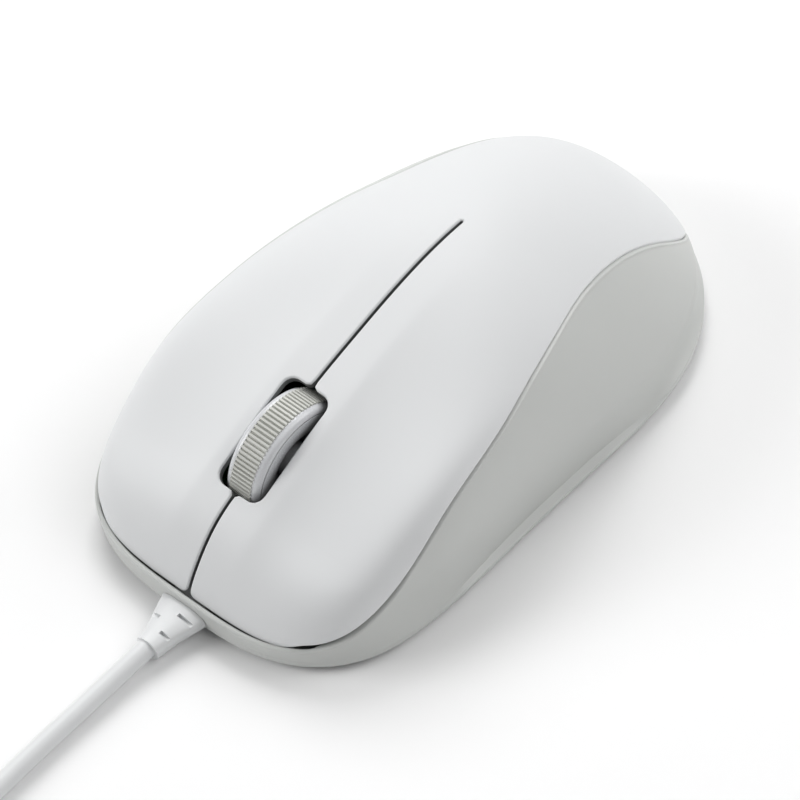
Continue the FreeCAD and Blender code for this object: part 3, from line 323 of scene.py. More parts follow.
def make_cord():
    points = list(LEAD_ROUTE)
    for i in range(1, int(TURNS * POINTS_PER_TURN) + 1):
        points.append(coil_point(i / POINTS_PER_TURN))
    points += TAIL_ROUTE
    data = bpy.data.curves.new("cord", "CURVE")
    data.dimensions = "3D"
    data.bevel_depth = CORD_R * MM
    data.bevel_resolution = 7
    data.resolution_u = 6
    data.use_fill_caps = True
    spline = data.splines.new("NURBS")
    spline.points.add(len(points) - 1)
    for place, p in zip(spline.points, points):
        place.co = (p[0] * MM, p[1] * MM, p[2] * MM, 1)
    spline.order_u = 3
    spline.use_endpoint_u = True
    spline.use_smooth = True
    obj = bpy.data.objects.new("cord", data)
    bpy.context.scene.collection.objects.link(obj)
    data.materials.append(M["cord_jacket"])
    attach(obj, "housing")
    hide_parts("cord_lead", "cord_coil", "cord_tail")
    return obj


cord = make_cord()


# ================================================================ mesh tools
TINY = 1e-9
SAME_PLACES = 4           # decimals of a mm to which points are taken as one


def build(name, points, faces, corner_normals, material, inside=()):
    """Mesh from points in mm, faces as index lists and one normal for every face corner.

    inside holds a 1 for each face that takes the painted shade: a dark grey on the inside and the
    walls that stands for the shade there.
    """
    mesh = bpy.data.meshes.new(name)
    mesh.from_pydata([[c * MM for c in p] for p in points], [], faces)
    mesh.polygons.foreach_set("use_smooth", [True] * len(faces))
    mesh.materials.append(M[material])
    # second slot: the painted shade of the inside and the walls
    if inside:
        mesh.materials.append(M["shell_painted_shade"])
        mesh.polygons.foreach_set("material_index", inside)
    flat = [tuple(n) for face in corner_normals for n in face]
    mesh.normals_split_custom_set(flat)
    mesh.update()
    obj = bpy.data.objects.new(name, mesh)
    bpy.context.scene.collection.objects.link(obj)
    return obj


class Patches:
    """Collects grids of points into one mesh; each grid is smooth and grids meet in creases."""

    def __init__(self):
        self.points = []
        self.index = {}
        self.faces = []
        self.normals = []

    def vertex(self, p):
        key = tuple(round(c, SAME_PLACES) for c in p)
        if key not in self.index:
            self.index[key] = len(self.points)
            self.points.append(tuple(float(c) for c in p))
        return self.index[key]

    def grid(self, g, closed_rows=False, closed_cols=False, flip=False):
        g = np.asarray(g, float)
        rows, cols = g.shape[:2]
        along = difference(g, 0, closed_rows)
        across = difference(g, 1, closed_cols)
        normal = np.cross(along, across)
        if flip:
            normal = -normal
        length = np.linalg.norm(normal, axis=2, keepdims=True)
        normal = normal / np.maximum(length, 1e-12)
        ids = [[self.vertex(g[i, j]) for j in range(cols)] for i in range(rows)]
        for i in range(rows if closed_rows else rows - 1):
            for j in range(cols if closed_cols else cols - 1):
                k, m = (i + 1) % rows, (j + 1) % cols
                ring = [(i, j), (k, j), (k, m), (i, m)]
                if flip:
                    ring.reverse()
                self.face([ids[a][b] for a, b in ring], [normal[a, b] for a, b in ring])

    def face(self, ids, normals):
        keep = [n for n in range(len(ids)) if ids[n] != ids[n - 1]]
        if len(keep) >= 3 and len(set(ids[n] for n in keep)) == len(keep):
            self.faces.append([ids[n] for n in keep])
            self.normals.append([normals[n] for n in keep])

    def obj(self, name, material):
        return build(name, self.points, self.faces, self.normals, material)


def difference(g, axis, closed):
    """Steps between neighbours along an axis of the grid: central, or one-sided at an open end."""
    if closed:
        return np.roll(g, -1, axis) - np.roll(g, 1, axis)
    out = np.empty_like(g)
    a = [slice(None)] * 3
    ahead, behind, mid = list(a), list(a), list(a)
    ahead[axis], behind[axis], mid[axis] = slice(2, None), slice(0, -2), slice(1, -1)
    out[tuple(mid)] = g[tuple(ahead)] - g[tuple(behind)]
    first, second, last, before = list(a), list(a), list(a), list(a)
    first[axis], second[axis], last[axis], before[axis] = 0, 1, -1, -2
    out[tuple(first)] = g[tuple(second)] - g[tuple(first)]
    out[tuple(last)] = g[tuple(last)] - g[tuple(before)]
    return out


# ================================================================ the body form
# It repeats the CAD part's form in mm, apart from the finger groove, which has a crease here.
STATIONS = (-49, -36, -24, -12, 0, 12, 24, 36, 49)
EQUATOR_HALF = (31.5, 28.5, 28.2, 27.7, 27.2, 27.4, 27.8, 28.1, 28.3)
EQUATOR_HEIGHT = (3.9, 8.0, 11.0, 11.0, 10.0, 8.6, 6.6, 5.3, 4.8)
BASE_HALF = (32.0, 31.1, 29.6, 28.7, 28.6, 29.1, 30.2, 30.5, 29.5)
PARTING_HEIGHT = (5.4, 9.7, 17.5, 21.1, 23.0, 23.2, 21.1, 15.0, 3.0)
CROWN_STATIONS = (-49, -43, -36, -24, -12, 0, 12, 24, 36, 43, 49)
CROWN_HEIGHT = (4.7, 13.4, 17.9, 23.6, 27.4, 30.2, 30.9, 28.1, 21.7, 16.0, 8.0)
NOSE_Y, TAIL_Y = 48.35, 49.4
NOSE_POWER, TAIL_POWER = 3.55, 2.6
LIP_POWER, BASE_POWER = 3.4, 3.0
NOSE_ROLL, TAIL_ROLL = 90.0, 40.0       # the higher, the smaller the radius where top meets end
FLANGE_WIDTH, FLANGE_TOP, FLANGE_EDGE, BASE_Z = 1.3, 2.7, 2.2, 1.5
LIP_STEP, LIP_WIDE, LIP_LIFT = 1.05, 0.3, 2.5
LIP_END_Y = -44.6
EDGE_GAP, SKIRT_DROP = 0.15, 0.95
LIP_DROP = 0.25
PRESS_RAD, PRESS_ROOM = math.radians(0.45), 1.1
FLEX_Y = 13.0
GROOVE_DEPTH, GROOVE_WIDTH = 1.95, 18.5
CREASE_FRONT, CREASE_REAR = 6.2, 5.3    # distance of the groove's inner crease from the middle
CREASE_SOFT = 0.03                      # how far the crease is rounded, as a share of the width
NUDGE = 1e-3                            # mm, step of a numerical slope


def natural_spline(xs, ys):
    """Natural cubic spline through the points, as a function."""
    xs, ys = np.array(xs, float), np.array(ys, float)
    h = np.diff(xs)
    n = len(xs)
    a = np.eye(n)
    b = np.zeros(n)
    for i in range(1, n - 1):
        a[i, i - 1:i + 2] = h[i - 1], 2 * (h[i - 1] + h[i]), h[i]
        b[i] = 3 * ((ys[i + 1] - ys[i]) / h[i] - (ys[i] - ys[i - 1]) / h[i - 1])
    c = np.linalg.solve(a, b)

    def evaluate(x):
        x = np.asarray(x, float)
        i = np.clip(np.searchsorted(xs, x) - 1, 0, n - 2)
        slope = (ys[i + 1] - ys[i]) / h[i] - h[i] * (2 * c[i] + c[i + 1]) / 3
        d = x - xs[i]
        return ys[i] + d * (slope + d * (c[i] + d * (c[i + 1] - c[i]) / (3 * h[i])))

    return evaluate


def ramp(value, start, end):
    """0 before start, 1 past end and smooth between; works on arrays."""
    t = np.clip((np.asarray(value, float) - start) / (end - start), 0, 1)
    return t * t * (3 - 2 * t)


equator_width = natural_spline(STATIONS, EQUATOR_HALF)
equator_level = natural_spline(STATIONS, EQUATOR_HEIGHT)
base_width = natural_spline(STATIONS, BASE_HALF)
parting_level = natural_spline(STATIONS, PARTING_HEIGHT)
crown_level = natural_spline(CROWN_STATIONS, CROWN_HEIGHT)


def nose(y):
    """1 at the front end, fading to 0 ahead of the wheel."""
    return 1 - ramp(y, -40, -28)


def reach_of(y, front):
    return np.where(np.asarray(y) < 0, NOSE_Y + front, TAIL_Y)


def plan_half(widths, y, front, wide=0.0, nose_power=NOSE_POWER):
    y = np.asarray(y, float)
    power = np.where(y < 0, nose_power, TAIL_POWER)
    width = widths(y) + wide * nose(y)
    left = np.maximum(1 - (np.abs(y) / reach_of(y, front)) ** power, 0.0)
    return width * left ** (1 / power)


def groove(x, y):
    """Depth of the finger groove: it drops at the crease and comes back gently farther out."""
    crease = CREASE_FRONT + (CREASE_REAR - CREASE_FRONT) * ramp(y, -42, 0)
    past = (np.abs(x) - crease) / GROOVE_WIDTH
    u = np.minimum(0.5 * (past + np.sqrt(past * past + CREASE_SOFT ** 2)), 1.0)
    along = ramp(y, -50, -36) * (1 - ramp(y, -26, 14))
    return GROOVE_DEPTH * along * 4 * u * (1 - u) * (1 - u ** 8)


def section_power(y):
    """Flatness of the top across: flat with tight shoulders in front, round behind."""
    return 5.9 + (2.1 - 5.9) * ramp(y, -38, 20)


def section_shoulder(y):
    return 0.5 + 0.33 * ramp(y, -10, 28)


def end_roll(y):
    """Takes the crown down to the equator at each end with a small radius."""
    y = np.asarray(y, float)
    power = np.where(y < 0, NOSE_ROLL, TAIL_ROLL)
    eta = np.minimum(np.abs(y) / reach_of(y, 0), 1.0)
    return np.sqrt(np.maximum(1 - eta ** power, TINY))


LEAST_RISE = 0.8


def plain_rise(y):
    return np.maximum(crown_level(y) - equator_level(y), LEAST_RISE)


BELOW_SCALE = 10.0        # mm of drop below the equator for each unit of xi over 1


def dome(y, xi):
    """Point of the cover's outside: xi is 0 at the middle, 1 at the widest line, more below it."""
    y, xi = np.asarray(y, float), np.asarray(xi, float)
    half = plan_half(equator_width, y, 0)
    a = np.abs(xi)
    inside = np.minimum(a, 1.0)
    x = half * inside * np.sign(xi)
    rise = plain_rise(y) * end_roll(y)
    z = equator_level(y) + rise * np.maximum(1 - inside ** section_power(y), 0) ** section_shoulder(y)
    fade = np.minimum(1.0, (1 - inside) * 8)
    z = z - groove(x, y) * fade - np.maximum(a - 1, 0) * BELOW_SCALE
    return np.stack([x, y, z], -1)


def slope(f, y):
    return (f(y + NUDGE) - f(y - NUDGE)) / (2 * NUDGE)


def dome_normal(y, xi):
    """Outward normal, from the gradient of xi^a + zeta^(1/p) - 1."""
    y, xi = np.asarray(y, float), np.asarray(xi, float)
    sign = np.where(xi < 0, -1.0, 1.0)
    a = np.clip(np.abs(xi), 1e-6, 1.0)
    reach = reach_of(y, 0)
    eta = np.minimum(np.abs(y) / reach, 1 - 1e-12)
    side = np.sign(y)
    n = np.where(y < 0, NOSE_POWER, TAIL_POWER)
    q = np.maximum(1 - eta ** n, 1e-14)
    width = equator_width(y)
    half = width * q ** (1 / n)
    d_half = slope(equator_width, y) * q ** (1 / n)
    d_half = d_half - width * q ** (1 / n - 1) * eta ** (n - 1) * side / reach
    k = np.where(y < 0, NOSE_ROLL, TAIL_ROLL)
    s = end_roll(y)
    d_s = -k * eta ** (k - 1) * side / (2 * s * reach)
    rise = plain_rise(y) * s
    d_rise = slope(plain_rise, y) * s + plain_rise(y) * d_s
    power, p = section_power(y), section_shoulder(y)
    zeta = np.clip(1 - a ** power, 0, 1) ** p
    x = half * a
    gx = slope(lambda v: groove(v, y), x)
    gy = slope(lambda v: groove(x, v), y)
    some = np.maximum(zeta, TINY)
    dz = (1 / p) * some ** (1 / p - 1)
    f_x = power * a ** (power - 1) / half + dz * gx / rise
    f_z = dz / rise
    f_y = -power * a ** power * d_half / half + a ** power * np.log(a) * slope(section_power, y)
    f_y = f_y + dz * ((gy - slope(equator_level, y)) / rise - zeta * d_rise / rise)
    f_y = f_y - some ** (1 / p) * np.log(some) * slope(section_shoulder, y) / p ** 2
    normal = np.stack([f_x * sign, f_y, f_z], -1)
    tip = half < 0.02
    normal[tip] = np.stack([0 * y, side, 0 * y], -1)[tip]
    return normal / np.linalg.norm(normal, axis=-1, keepdims=True)


def nested(y):
    """1 along the front, where the cover's skirt sits inside the frame's lip, 0 behind it."""
    return 1 - ramp(y, LIP_END_Y - 2.6, LIP_END_Y - 0.5)


def cover_edge(y):
    """Height of the lower edge of the cover and buttons."""
    y = np.clip(y, STATIONS[0], STATIONS[-1])
    return parting_level(y) + EDGE_GAP / 3 - SKIRT_DROP * nested(y)


def frame_edge(y):
    """Height of the frame's top edge, which leaves room for the pressed button."""
    y = np.clip(y, STATIONS[0], STATIONS[-1])
    travel = PRESS_ROOM * PRESS_RAD * np.maximum(FLEX_Y - y, 0)
    return parting_level(y) - EDGE_GAP * 2 / 3 - travel * (1 - nested(y)) - LIP_DROP * nested(y)


def outline_rows(front, spacing, extra=()):
    """Values of y, evenly spaced along the plan outline, from the nose tip to the tail tip."""
    turn = np.linspace(1e-4, math.pi / 2, 6000)
    power = LIP_POWER if front else NOSE_POWER
    ahead = -(NOSE_Y + front) * np.cos(turn) ** (2 / power)
    behind = TAIL_Y * np.cos(turn) ** (2 / TAIL_POWER)
    y = np.concatenate([ahead, behind[::-1][1:]])
    half = plan_half(equator_width, y, front, nose_power=power)
    run = np.concatenate([[0], np.cumsum(np.hypot(np.diff(y), np.diff(half)))])
    count = int(run[-1] / spacing)
    rows = np.interp(np.linspace(0, run[-1], count + 1), run, y)
    for value in extra:
        rows[np.argmin(np.abs(rows - value))] = value
    rows[0], rows[-1] = -(NOSE_Y + front), TAIL_Y
    return rows


# ================================================================ cover and buttons
SEAM_Y = 15.0             # where the button and palm meshes meet, behind the bending line
SLIT_HALF, SLIT_END = 0.25, 12.25
SLOT_HALF, SLOT_FRONT, SLOT_REAR, SLOT_CORNER = 4.05, -37.1, -20.5, 1.8
EDGE_R = 0.35             # rounding of every edge
SKIN = 1.5
GRID = 0.62               # spacing of the rows along the outline
COLUMNS, SPARE_COLUMNS, SPARE_STEP = 66, 4, 0.07
ROUND_STEPS = 5
BISECTIONS = 26
SLOT_BLEND, EDGE_BLEND = 0.45, 0.8
EDGE_SLANT = 0.9          # turns a height above the edge into about a distance along the surface


def smooth_min(a, b, k):
    """The smaller of two distances, rounded over k where they are alike."""
    h = np.clip(0.5 + 0.5 * (b - a) / k, 0, 1)
    return b + (a - b) * h - k * h * (1 - h)


def keep_button(p):
    """Positive on the left button's outside, zero at the start of its rounded edge."""
    x, y, z = p[:, 0], p[:, 1], p[:, 2]
    slit = np.hypot(x, np.maximum(y - SLIT_END, 0)) - SLIT_HALF - EDGE_R
    middle = (SLOT_FRONT + SLOT_REAR) / 2
    dx = x - (SLOT_HALF - SLOT_CORNER)
    dy = np.abs(y - middle) - ((SLOT_REAR - SLOT_FRONT) / 2 - SLOT_CORNER)
    outside = np.hypot(np.maximum(dx, 0), np.maximum(dy, 0)) + np.minimum(np.maximum(dx, dy), 0)
    slot = outside - SLOT_CORNER - EDGE_R
    edge = (z - cover_edge(y) - EDGE_R * EDGE_SLANT) * EDGE_SLANT
    return smooth_min(smooth_min(slit, slot, SLOT_BLEND), edge, EDGE_BLEND)


def keep_palm(p):
    return (p[:, 2] - cover_edge(p[:, 1]) - EDGE_R * EDGE_SLANT) * EDGE_SLANT


def clip(y, xi, faces, keep):
    """Cut the grid's faces where keep() goes below zero; new vertices lie on the surface."""
    value = keep(dome(y, xi))
    value = np.where(np.abs(value) < 1e-7, 1e-7, value)
    edges = {}
    for face in faces:
        for a, b in zip(face, face[1:] + face[:1]):
            if (value[a] > 0) != (value[b] > 0):
                edges.setdefault((min(a, b), max(a, b)), 0)
    pairs = np.array(list(edges), int).reshape(-1, 2)
    a, b = pairs[:, 0], pairs[:, 1]
    flip = value[a] < 0
    a, b = np.where(flip, b, a), np.where(flip, a, b)      # a is kept
    low, high = np.zeros(len(a)), np.ones(len(a))
    for _ in range(BISECTIONS):
        mid = (low + high) / 2
        good = keep(dome(y[a] + (y[b] - y[a]) * mid, xi[a] + (xi[b] - xi[a]) * mid)) > 0
        low, high = np.where(good, mid, low), np.where(good, high, mid)
    start = len(y)
    for n, pair in enumerate(edges):
        edges[pair] = start + n
    y2 = np.concatenate([y, y[a] + (y[b] - y[a]) * low])
    xi2 = np.concatenate([xi, xi[a] + (xi[b] - xi[a]) * low])
    out = []
    for face in faces:
        inside = [value[v] > 0 for v in face]
        if all(inside):
            out.append(face)
        elif any(inside):
            ring = []
            for n, v in enumerate(face):
                w = face[(n + 1) % len(face)]
                if inside[n]:
                    ring.append(v)
                if inside[n] != inside[(n + 1) % len(face)]:
                    ring.append(edges[(min(v, w), max(v, w))])
            if len(ring) >= 3:
                out.append(ring)
    return y2, xi2, out


def column_values(rows, count, spare):
    """xi for every row, evenly spaced along the section's length, with a few below the equator."""
    table = []
    turn = np.linspace(0, math.pi / 2, 500)
    for y in rows:
        power, p = float(section_power(y)), float(section_shoulder(y))
        xs = np.unique(np.concatenate([np.linspace(0, 1, 400), np.sin(turn) ** (2 / power)]))
        line = dome(np.full(len(xs), y), xs)
        line[:, 0] += 0.02 * xs
        run = np.concatenate([[0], np.cumsum(np.linalg.norm(np.diff(line, axis=0), axis=1))])
        table.append(np.interp(np.linspace(0, run[-1], count + 1), run, xs))
    below = 1 + np.arange(1, spare + 1) * SPARE_STEP
    return np.hstack([np.array(table), np.tile(below, (len(rows), 1))])


def shell_piece(rows, xis, keep, seam):
    """Closed shell: outside grid cut by keep(), rounded edges, walls and inside.

    Returns points, faces, a normal for every face corner and a 1 for every face of the inside and of
    the walls, which take a painted shade.
    An edge on the seam gets a flat wall and no rounding.
    """
    count, width = xis.shape
    y = np.repeat(rows, width)
    xi = xis.reshape(-1)
    faces = []
    for i in range(count - 1):
        for j in range(width - 1):
            v = i * width + j
            faces.append([v, v + 1, v + width + 1, v + width])
    y, xi, faces = clip(y, xi, faces, keep)
    used = sorted({v for face in faces for v in face})
    renumber = {v: n for n, v in enumerate(used)}
    faces = [[renumber[v] for v in face] for face in faces]
    y, xi = y[used], xi[used]
    outer = dome(y, xi)
    normal = dome_normal(y, xi)
    keys = {}
    same = []
    for n, p in enumerate(outer):
        key = tuple(np.round(p, 5))
        same.append(keys.setdefault(key, n))
    clean = []
    for face in faces:
        ring = [same[v] for v in face]
        ring = [v for n, v in enumerate(ring) if v != ring[n - 1]]
        if len(ring) >= 3 and len(set(ring)) == len(ring):
            clean.append(ring)
    faces = clean
    points = [tuple(p) for p in outer]
    corner = [[normal[v] for v in face] for face in faces]
    all_faces = list(faces)
    shift = len(points)
    inner = outer - normal * SKIN
    points += [tuple(p) for p in inner]
    # dark marks the faces with painted shade: the inside and the walls
    dark = [0] * len(faces)
    for face in faces:
        ring = [v + shift for v in reversed(face)]
        all_faces.append(ring)
        dark.append(1)
        corner.append([-normal[v - shift] for v in ring])
    directed = set()
    for face in faces:
        for a, b in zip(face, face[1:] + face[:1]):
            directed.add((a, b))
    border = {a: b for a, b in directed if (b, a) not in directed}
    before = {b: a for a, b in border.items()}

    def on_seam(a, b):
        return seam(outer[a]) and seam(outer[b])

    rim = {}
    for v in border:
        ahead, behind = border[v], before[v]
        smooth_ahead, smooth_behind = not on_seam(v, ahead), not on_seam(behind, v)
        if not (smooth_ahead or smooth_behind):
            continue
        n = normal[v]
        way = np.zeros(3)
        if smooth_ahead:
            d = outer[ahead] - outer[v]
            way += d / max(np.linalg.norm(d), TINY) if not smooth_behind else d
        if smooth_behind:
            d = outer[v] - outer[behind]
            way += d / max(np.linalg.norm(d), TINY) if not smooth_ahead else d
        out = np.cross(way, n)
        if not (smooth_ahead and smooth_behind):
            other = outer[behind] - outer[v] if smooth_ahead else outer[ahead] - outer[v]
            axis = 0 if abs(outer[v][0]) < 1e-6 and abs(other[0]) < 1e-6 else 1
            out[axis] = 0
        out /= max(np.linalg.norm(out), TINY)
        ring = []
        for k in range(1, ROUND_STEPS + 1):
            turn = math.pi / 2 * k / ROUND_STEPS
            p = outer[v] + out * EDGE_R * math.sin(turn) - n * EDGE_R * (1 - math.cos(turn))
            ring.append((len(points), n * math.cos(turn) + out * math.sin(turn)))
            points.append(tuple(p))
        bottom = outer[v] + out * EDGE_R - n * SKIN
        ring.append((len(points), out))
        points.append(tuple(bottom))
        rim[v] = ring
    for v, w in border.items():
        n_v, n_w = normal[v], normal[w]
        if on_seam(v, w):
            flat = np.cross(outer[w] - outer[v], n_v)
            flat /= max(np.linalg.norm(flat), TINY)
            all_faces.append([w, v, v + shift, w + shift])
            corner.append([flat] * 4)
            dark.append(1)
            continue
        line_v = [(v, n_v)] + rim[v]
        line_w = [(w, n_w)] + rim[w]
        for k in range(len(line_v) - 1):
            all_faces.append([line_w[k][0], line_v[k][0], line_v[k + 1][0], line_w[k + 1][0]])
            corner.append([line_w[k][1], line_v[k][1], line_v[k + 1][1], line_w[k + 1][1]])
            # the wall below each rounded edge, in the slit, the slot and along the lower edge, takes
            # the painted shade
            dark.append(int(k >= ROUND_STEPS))
        all_faces.append([line_w[-1][0], line_v[-1][0], v + shift, w + shift])
        corner.append([-n_w, -n_v, -n_v, -n_w])
        dark.append(1)
    used = sorted({v for face in all_faces for v in face})
    renumber = {v: n for n, v in enumerate(used)}
    faces = [[renumber[v] for v in face] for face in all_faces]
    return [points[v] for v in used], faces, corner, dark


def without_middle(shape):
    """The shape without the wall faces that lie on x = 0."""
    points, faces, corner, dark = shape
    keep = [n for n, face in enumerate(faces) if any(abs(points[v][0]) > 1e-6 for v in face)]
    return points, [faces[n] for n in keep], [corner[n] for n in keep], [dark[n] for n in keep]


def mirrored(shape):
    """The shape on the other side of x = 0."""
    points, faces, corner, dark = shape
    flip = np.array([-1, 1, 1])
    return ([(-p[0], p[1], p[2]) for p in points], [face[::-1] for face in faces],
            [[n * flip for n in ring[::-1]] for ring in corner], dark)


def joined(a, b):
    """Two shapes as one, with points that coincide merged."""
    points, index = [], {}
    faces, corner, dark = [], [], []
    for part in (a, b):
        ids = []
        for p in part[0]:
            key = tuple(round(c, SAME_PLACES) for c in p)
            if key not in index:
                index[key] = len(points)
                points.append(p)
            ids.append(index[key])
        for face, ring, inner in zip(part[1], part[2], part[3]):
            loop = [ids[v] for v in face]
            keep = [n for n in range(len(loop)) if loop[n] != loop[n - 1]]
            if len(keep) >= 3 and len({loop[n] for n in keep}) == len(keep):
                faces.append([loop[n] for n in keep])
                corner.append([ring[n] for n in keep])
                dark.append(inner)
    return points, faces, corner, dark


def build_shell(name, shape):
    points, faces, corner, dark = shape
    return build(name, points, faces, corner, "white_shell", dark)


def make_skins():
    rows = outline_rows(0, GRID, extra=(SEAM_Y,))
    xis = column_values(rows, COLUMNS, SPARE_COLUMNS)
    split = int(np.argmin(np.abs(rows - SEAM_Y)))

    def on_seam(p):
        return abs(p[1] - SEAM_Y) < 1e-6 or abs(p[0]) < 1e-7

    left = shell_piece(rows[:split + 1], xis[:split + 1], keep_button, on_seam)
    palm = shell_piece(rows[split:], xis[split:], keep_palm, on_seam)
    left_skin = build_shell("left_button_skin", left)
    right_skin = build_shell("right_button_skin", mirrored(left))
    palm = without_middle(palm)
    palm_skin = build_shell("palm_cover", joined(palm, mirrored(palm)))
    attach(palm_skin, "housing")
    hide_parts("top_cover")
    for skin, body in ((left_skin, "left_button"), (right_skin, "right_button")):
        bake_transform(skin)
        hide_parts(body)


make_skins()


# ================================================================ side frame
LIP_T, WALL_T = 0.8, 1.6
FRAME_ROUND, ROUND_ARC = 0.32, 6
FRAME_GRID, WALL_ROWS = 0.62, 34
INNER_BEVEL = 0.15
LIP_DEPTH = 1.2           # how far the lip's inside goes straight down
FOOT_BEVEL = 0.12
FOOT_INSET = 1.5


def frame_profile(y):
    """Half widths and heights that shape the frame at y."""
    half = plan_half(equator_width, y, LIP_STEP, LIP_WIDE, LIP_POWER)
    foot_edge = plan_half(base_width, y, LIP_STEP, LIP_WIDE, BASE_POWER)
    foot = foot_edge - FLANGE_WIDTH * ramp(y, -36, -6) * (1 - ramp(y, 6, 28))
    foot = np.maximum(foot, 0.5 * half)
    level = equator_level(y) + LIP_LIFT * nose(y)
    rise = np.maximum(crown_level(y) + LIP_LIFT * nose(y) - level, LEAST_RISE)
    return half, foot, foot_edge, level, rise


def frame_x(y, z):
    half, foot, _, level, rise = frame_profile(y)
    zeta = np.clip((z - level) / rise, 0, 1)
    above = half * np.maximum(1 - zeta ** (1 / section_shoulder(y)), 0) ** (1 / section_power(y))
    s = np.clip((level - z) / (level - FLANGE_TOP), 0, 1)
    return np.where(z >= level, above, half + (foot - half) * s * s)


def ring_of(rows, xs, zs):
    """Closed ring of points: up the +X side from nose to tail and back along the other side."""
    right = np.stack([xs, rows, zs], -1)
    left = right[1:-1][::-1] * np.array([-1, 1, 1])
    return np.concatenate([right, left])


def inward_of(ring):
    """Level direction into the body at each point of a ring."""
    along = np.roll(ring, -1, 0) - np.roll(ring, 1, 0)
    out = np.stack([along[:, 1], -along[:, 0], 0 * along[:, 0]], -1)
    return -out / np.maximum(np.linalg.norm(out, axis=1, keepdims=True), TINY)


def make_frame():
    """The frame's closed skin: lip and wall, the ledge at the foot, the foot and the inside."""
    rows = outline_rows(LIP_STEP, FRAME_GRID)
    _, foot, foot_edge, _, _ = frame_profile(rows)
    foot_edge = np.maximum(foot_edge, foot + 0.02)
    top = frame_edge(rows)
    radius = np.minimum(FRAME_ROUND, (top - FLANGE_TOP) / 2)
    walls = []
    for j in range(WALL_ROWS + 1):
        z = (top - radius) + (FLANGE_TOP - (top - radius)) * (j / WALL_ROWS)
        walls.append(ring_of(rows, frame_x(rows, z), z))
    start = walls[0]
    inward = inward_of(start)
    thickness = LIP_T + (WALL_T - LIP_T) * ramp(rows, LIP_END_Y - 0.6, LIP_END_Y + 1.5)
    thick = np.concatenate([thickness, thickness[1:-1][::-1]])[:, None]
    r = np.concatenate([radius, radius[1:-1][::-1]])[:, None]
    up = np.array([0, 0, 1.0])
    columns = [start + inward * thick - up * LIP_DEPTH,
               start + inward * thick + up * (r - INNER_BEVEL),
               start + inward * (thick - INNER_BEVEL) + up * r,
               start + inward * (r + 0.3 * (thick - r)) + up * r]
    for k in range(ROUND_ARC + 1):
        turn = math.pi / 2 * (1 - k / ROUND_ARC)
        columns.append(start + inward * (r - r * np.cos(turn)) + up * r * np.sin(turn))
    columns += walls[1:]
    patches = Patches()
    patches.grid(np.stack(columns, 1), closed_rows=True, flip=True)
    ledge_in = ring_of(rows, foot, np.full(len(rows), FLANGE_TOP))
    ledge_out = ring_of(rows, foot_edge, np.full(len(rows), FLANGE_EDGE))
    ledge_mid = ledge_in + (ledge_out - ledge_in) * 0.5
    patches.grid(np.stack([walls[-1], ledge_mid, ledge_out], 1), closed_rows=True, flip=True)
    low = ring_of(rows, foot_edge, np.full(len(rows), BASE_Z + FOOT_BEVEL))
    lower = ring_of(rows, foot_edge, np.full(len(rows), BASE_Z)) + inward * FOOT_BEVEL
    patches.grid(np.stack([ledge_out, low, lower], 1), closed_rows=True, flip=True)
    inner_low = lower + inward * FOOT_INSET
    patches.grid(np.stack([lower, inner_low], 1), closed_rows=True, flip=True)
    inner_mid = start + inward * (thick + 0.3) - up * 1.6
    patches.grid(np.stack([inner_low, inner_mid, columns[0]], 1), closed_rows=True, flip=True)
    obj = patches.obj("side_frame_skin", "grey_shell")
    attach(obj, "housing")
    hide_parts("side_frame")


make_frame()


# ================================================================ wheel sides
AXLE_Y, AXLE_Z = -26.5, 15.4
# x and radius round the wheel's side cap, which closes the rim's recess with a faint dish
TRIM_LINE = ((2.30, 7.86), (2.94, 7.86), (2.948, 8.30), (2.958, 8.68), (2.975, 8.45), (2.975, 8.0),
             (2.955, 7.5), (2.915, 7.0), (2.85, 6.5), (2.77, 6.0), (2.69, 5.6), (2.60, 5.35),
             (2.45, 5.25), (2.30, 5.35), (2.25, 6.6))
TRIM_STEPS = 120


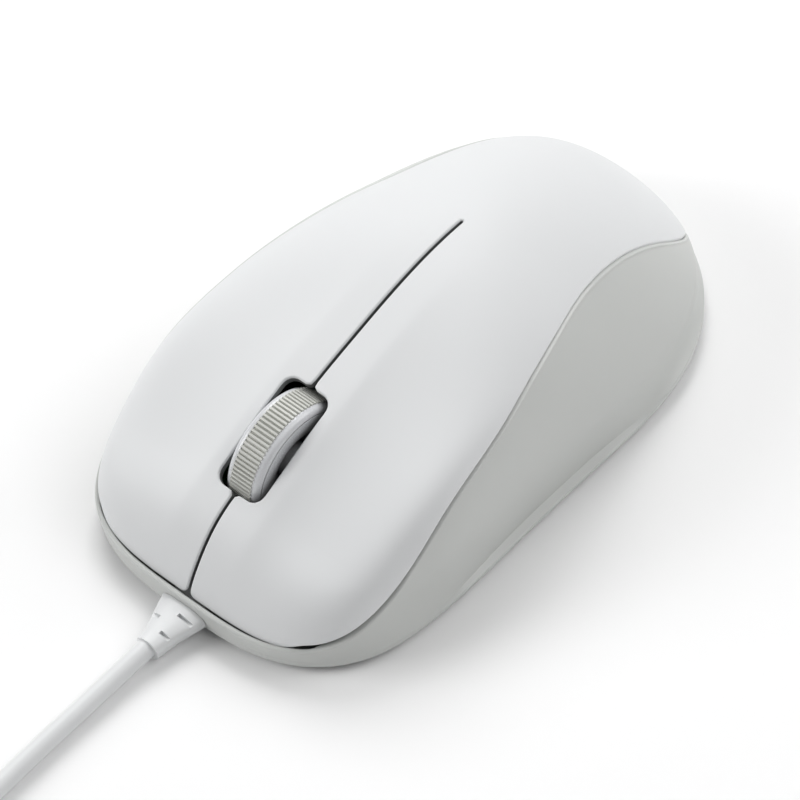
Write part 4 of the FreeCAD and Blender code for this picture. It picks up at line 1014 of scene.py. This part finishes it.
def make_wheel_trim(name, side):
    rings = []
    for i in range(TRIM_STEPS):
        turn = 2 * math.pi * i / TRIM_STEPS
        rings.append([(side * x, AXLE_Y + r * math.cos(turn), AXLE_Z + r * math.sin(turn))
                      for x, r in TRIM_LINE])
    patches = Patches()
    patches.grid(rings, closed_rows=True, closed_cols=True, flip=side > 0)
    obj = patches.obj(name, "wheel_plastic")
    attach(obj, "wheel")


make_wheel_trim("wheel_trim_left", 1)
make_wheel_trim("wheel_trim_right", -1)


# ================================================================ floor and light
FLOOR_HALF = 6.0
FLOOR_TONE, FLOOR_ROUGH = (0.93, 0.93, 0.93, 1), 0.8
WORLD = 0.22
AIM = (0, 0, 0.01)
# name, place in m, side in m and power in W of each square light
LIGHTS = (
    ("key", (-0.60, 0.60, 0.95), 0.7, 8.6),
    ("fill", (0.75, 0.30, 1.05), 1.0, 4.2),
    ("back", (0.50, 0.85, 0.80), 0.8, 4.2),
    ("front", (-0.95, -0.95, 0.70), 0.7, 10.5),
)


def make_floor():
    mesh = bpy.data.meshes.new("floor")
    h = FLOOR_HALF
    mesh.from_pydata([(-h, -h, 0), (h, -h, 0), (h, h, 0), (-h, h, 0)], [], [(0, 1, 2, 3)])
    floor = bpy.data.objects.new("floor", mesh)
    bpy.context.scene.collection.objects.link(floor)
    material, _, shader = principled("floor")
    shader.inputs["Base Color"].default_value = FLOOR_TONE
    shader.inputs["Roughness"].default_value = FLOOR_ROUGH
    mesh.materials.append(material)


def make_light():
    world = bpy.data.worlds.new("world")
    world.use_nodes = True
    world.node_tree.nodes["Background"].inputs["Color"].default_value = (1, 1, 1, 1)
    world.node_tree.nodes["Background"].inputs["Strength"].default_value = WORLD
    bpy.context.scene.world = world
    for name, place, side, power in LIGHTS:
        data = bpy.data.lights.new(name, "AREA")
        data.shape = "RECTANGLE"
        data.size, data.size_y = side, side
        data.energy = power
        light = bpy.data.objects.new(name, data)
        bpy.context.scene.collection.objects.link(light)
        light.location = place
        way = Vector(place) - Vector(AIM)
        light.rotation_euler = way.to_track_quat("Z", "Y").to_euler()
    bpy.context.scene.view_settings.view_transform = "Standard"


make_floor()
make_light()
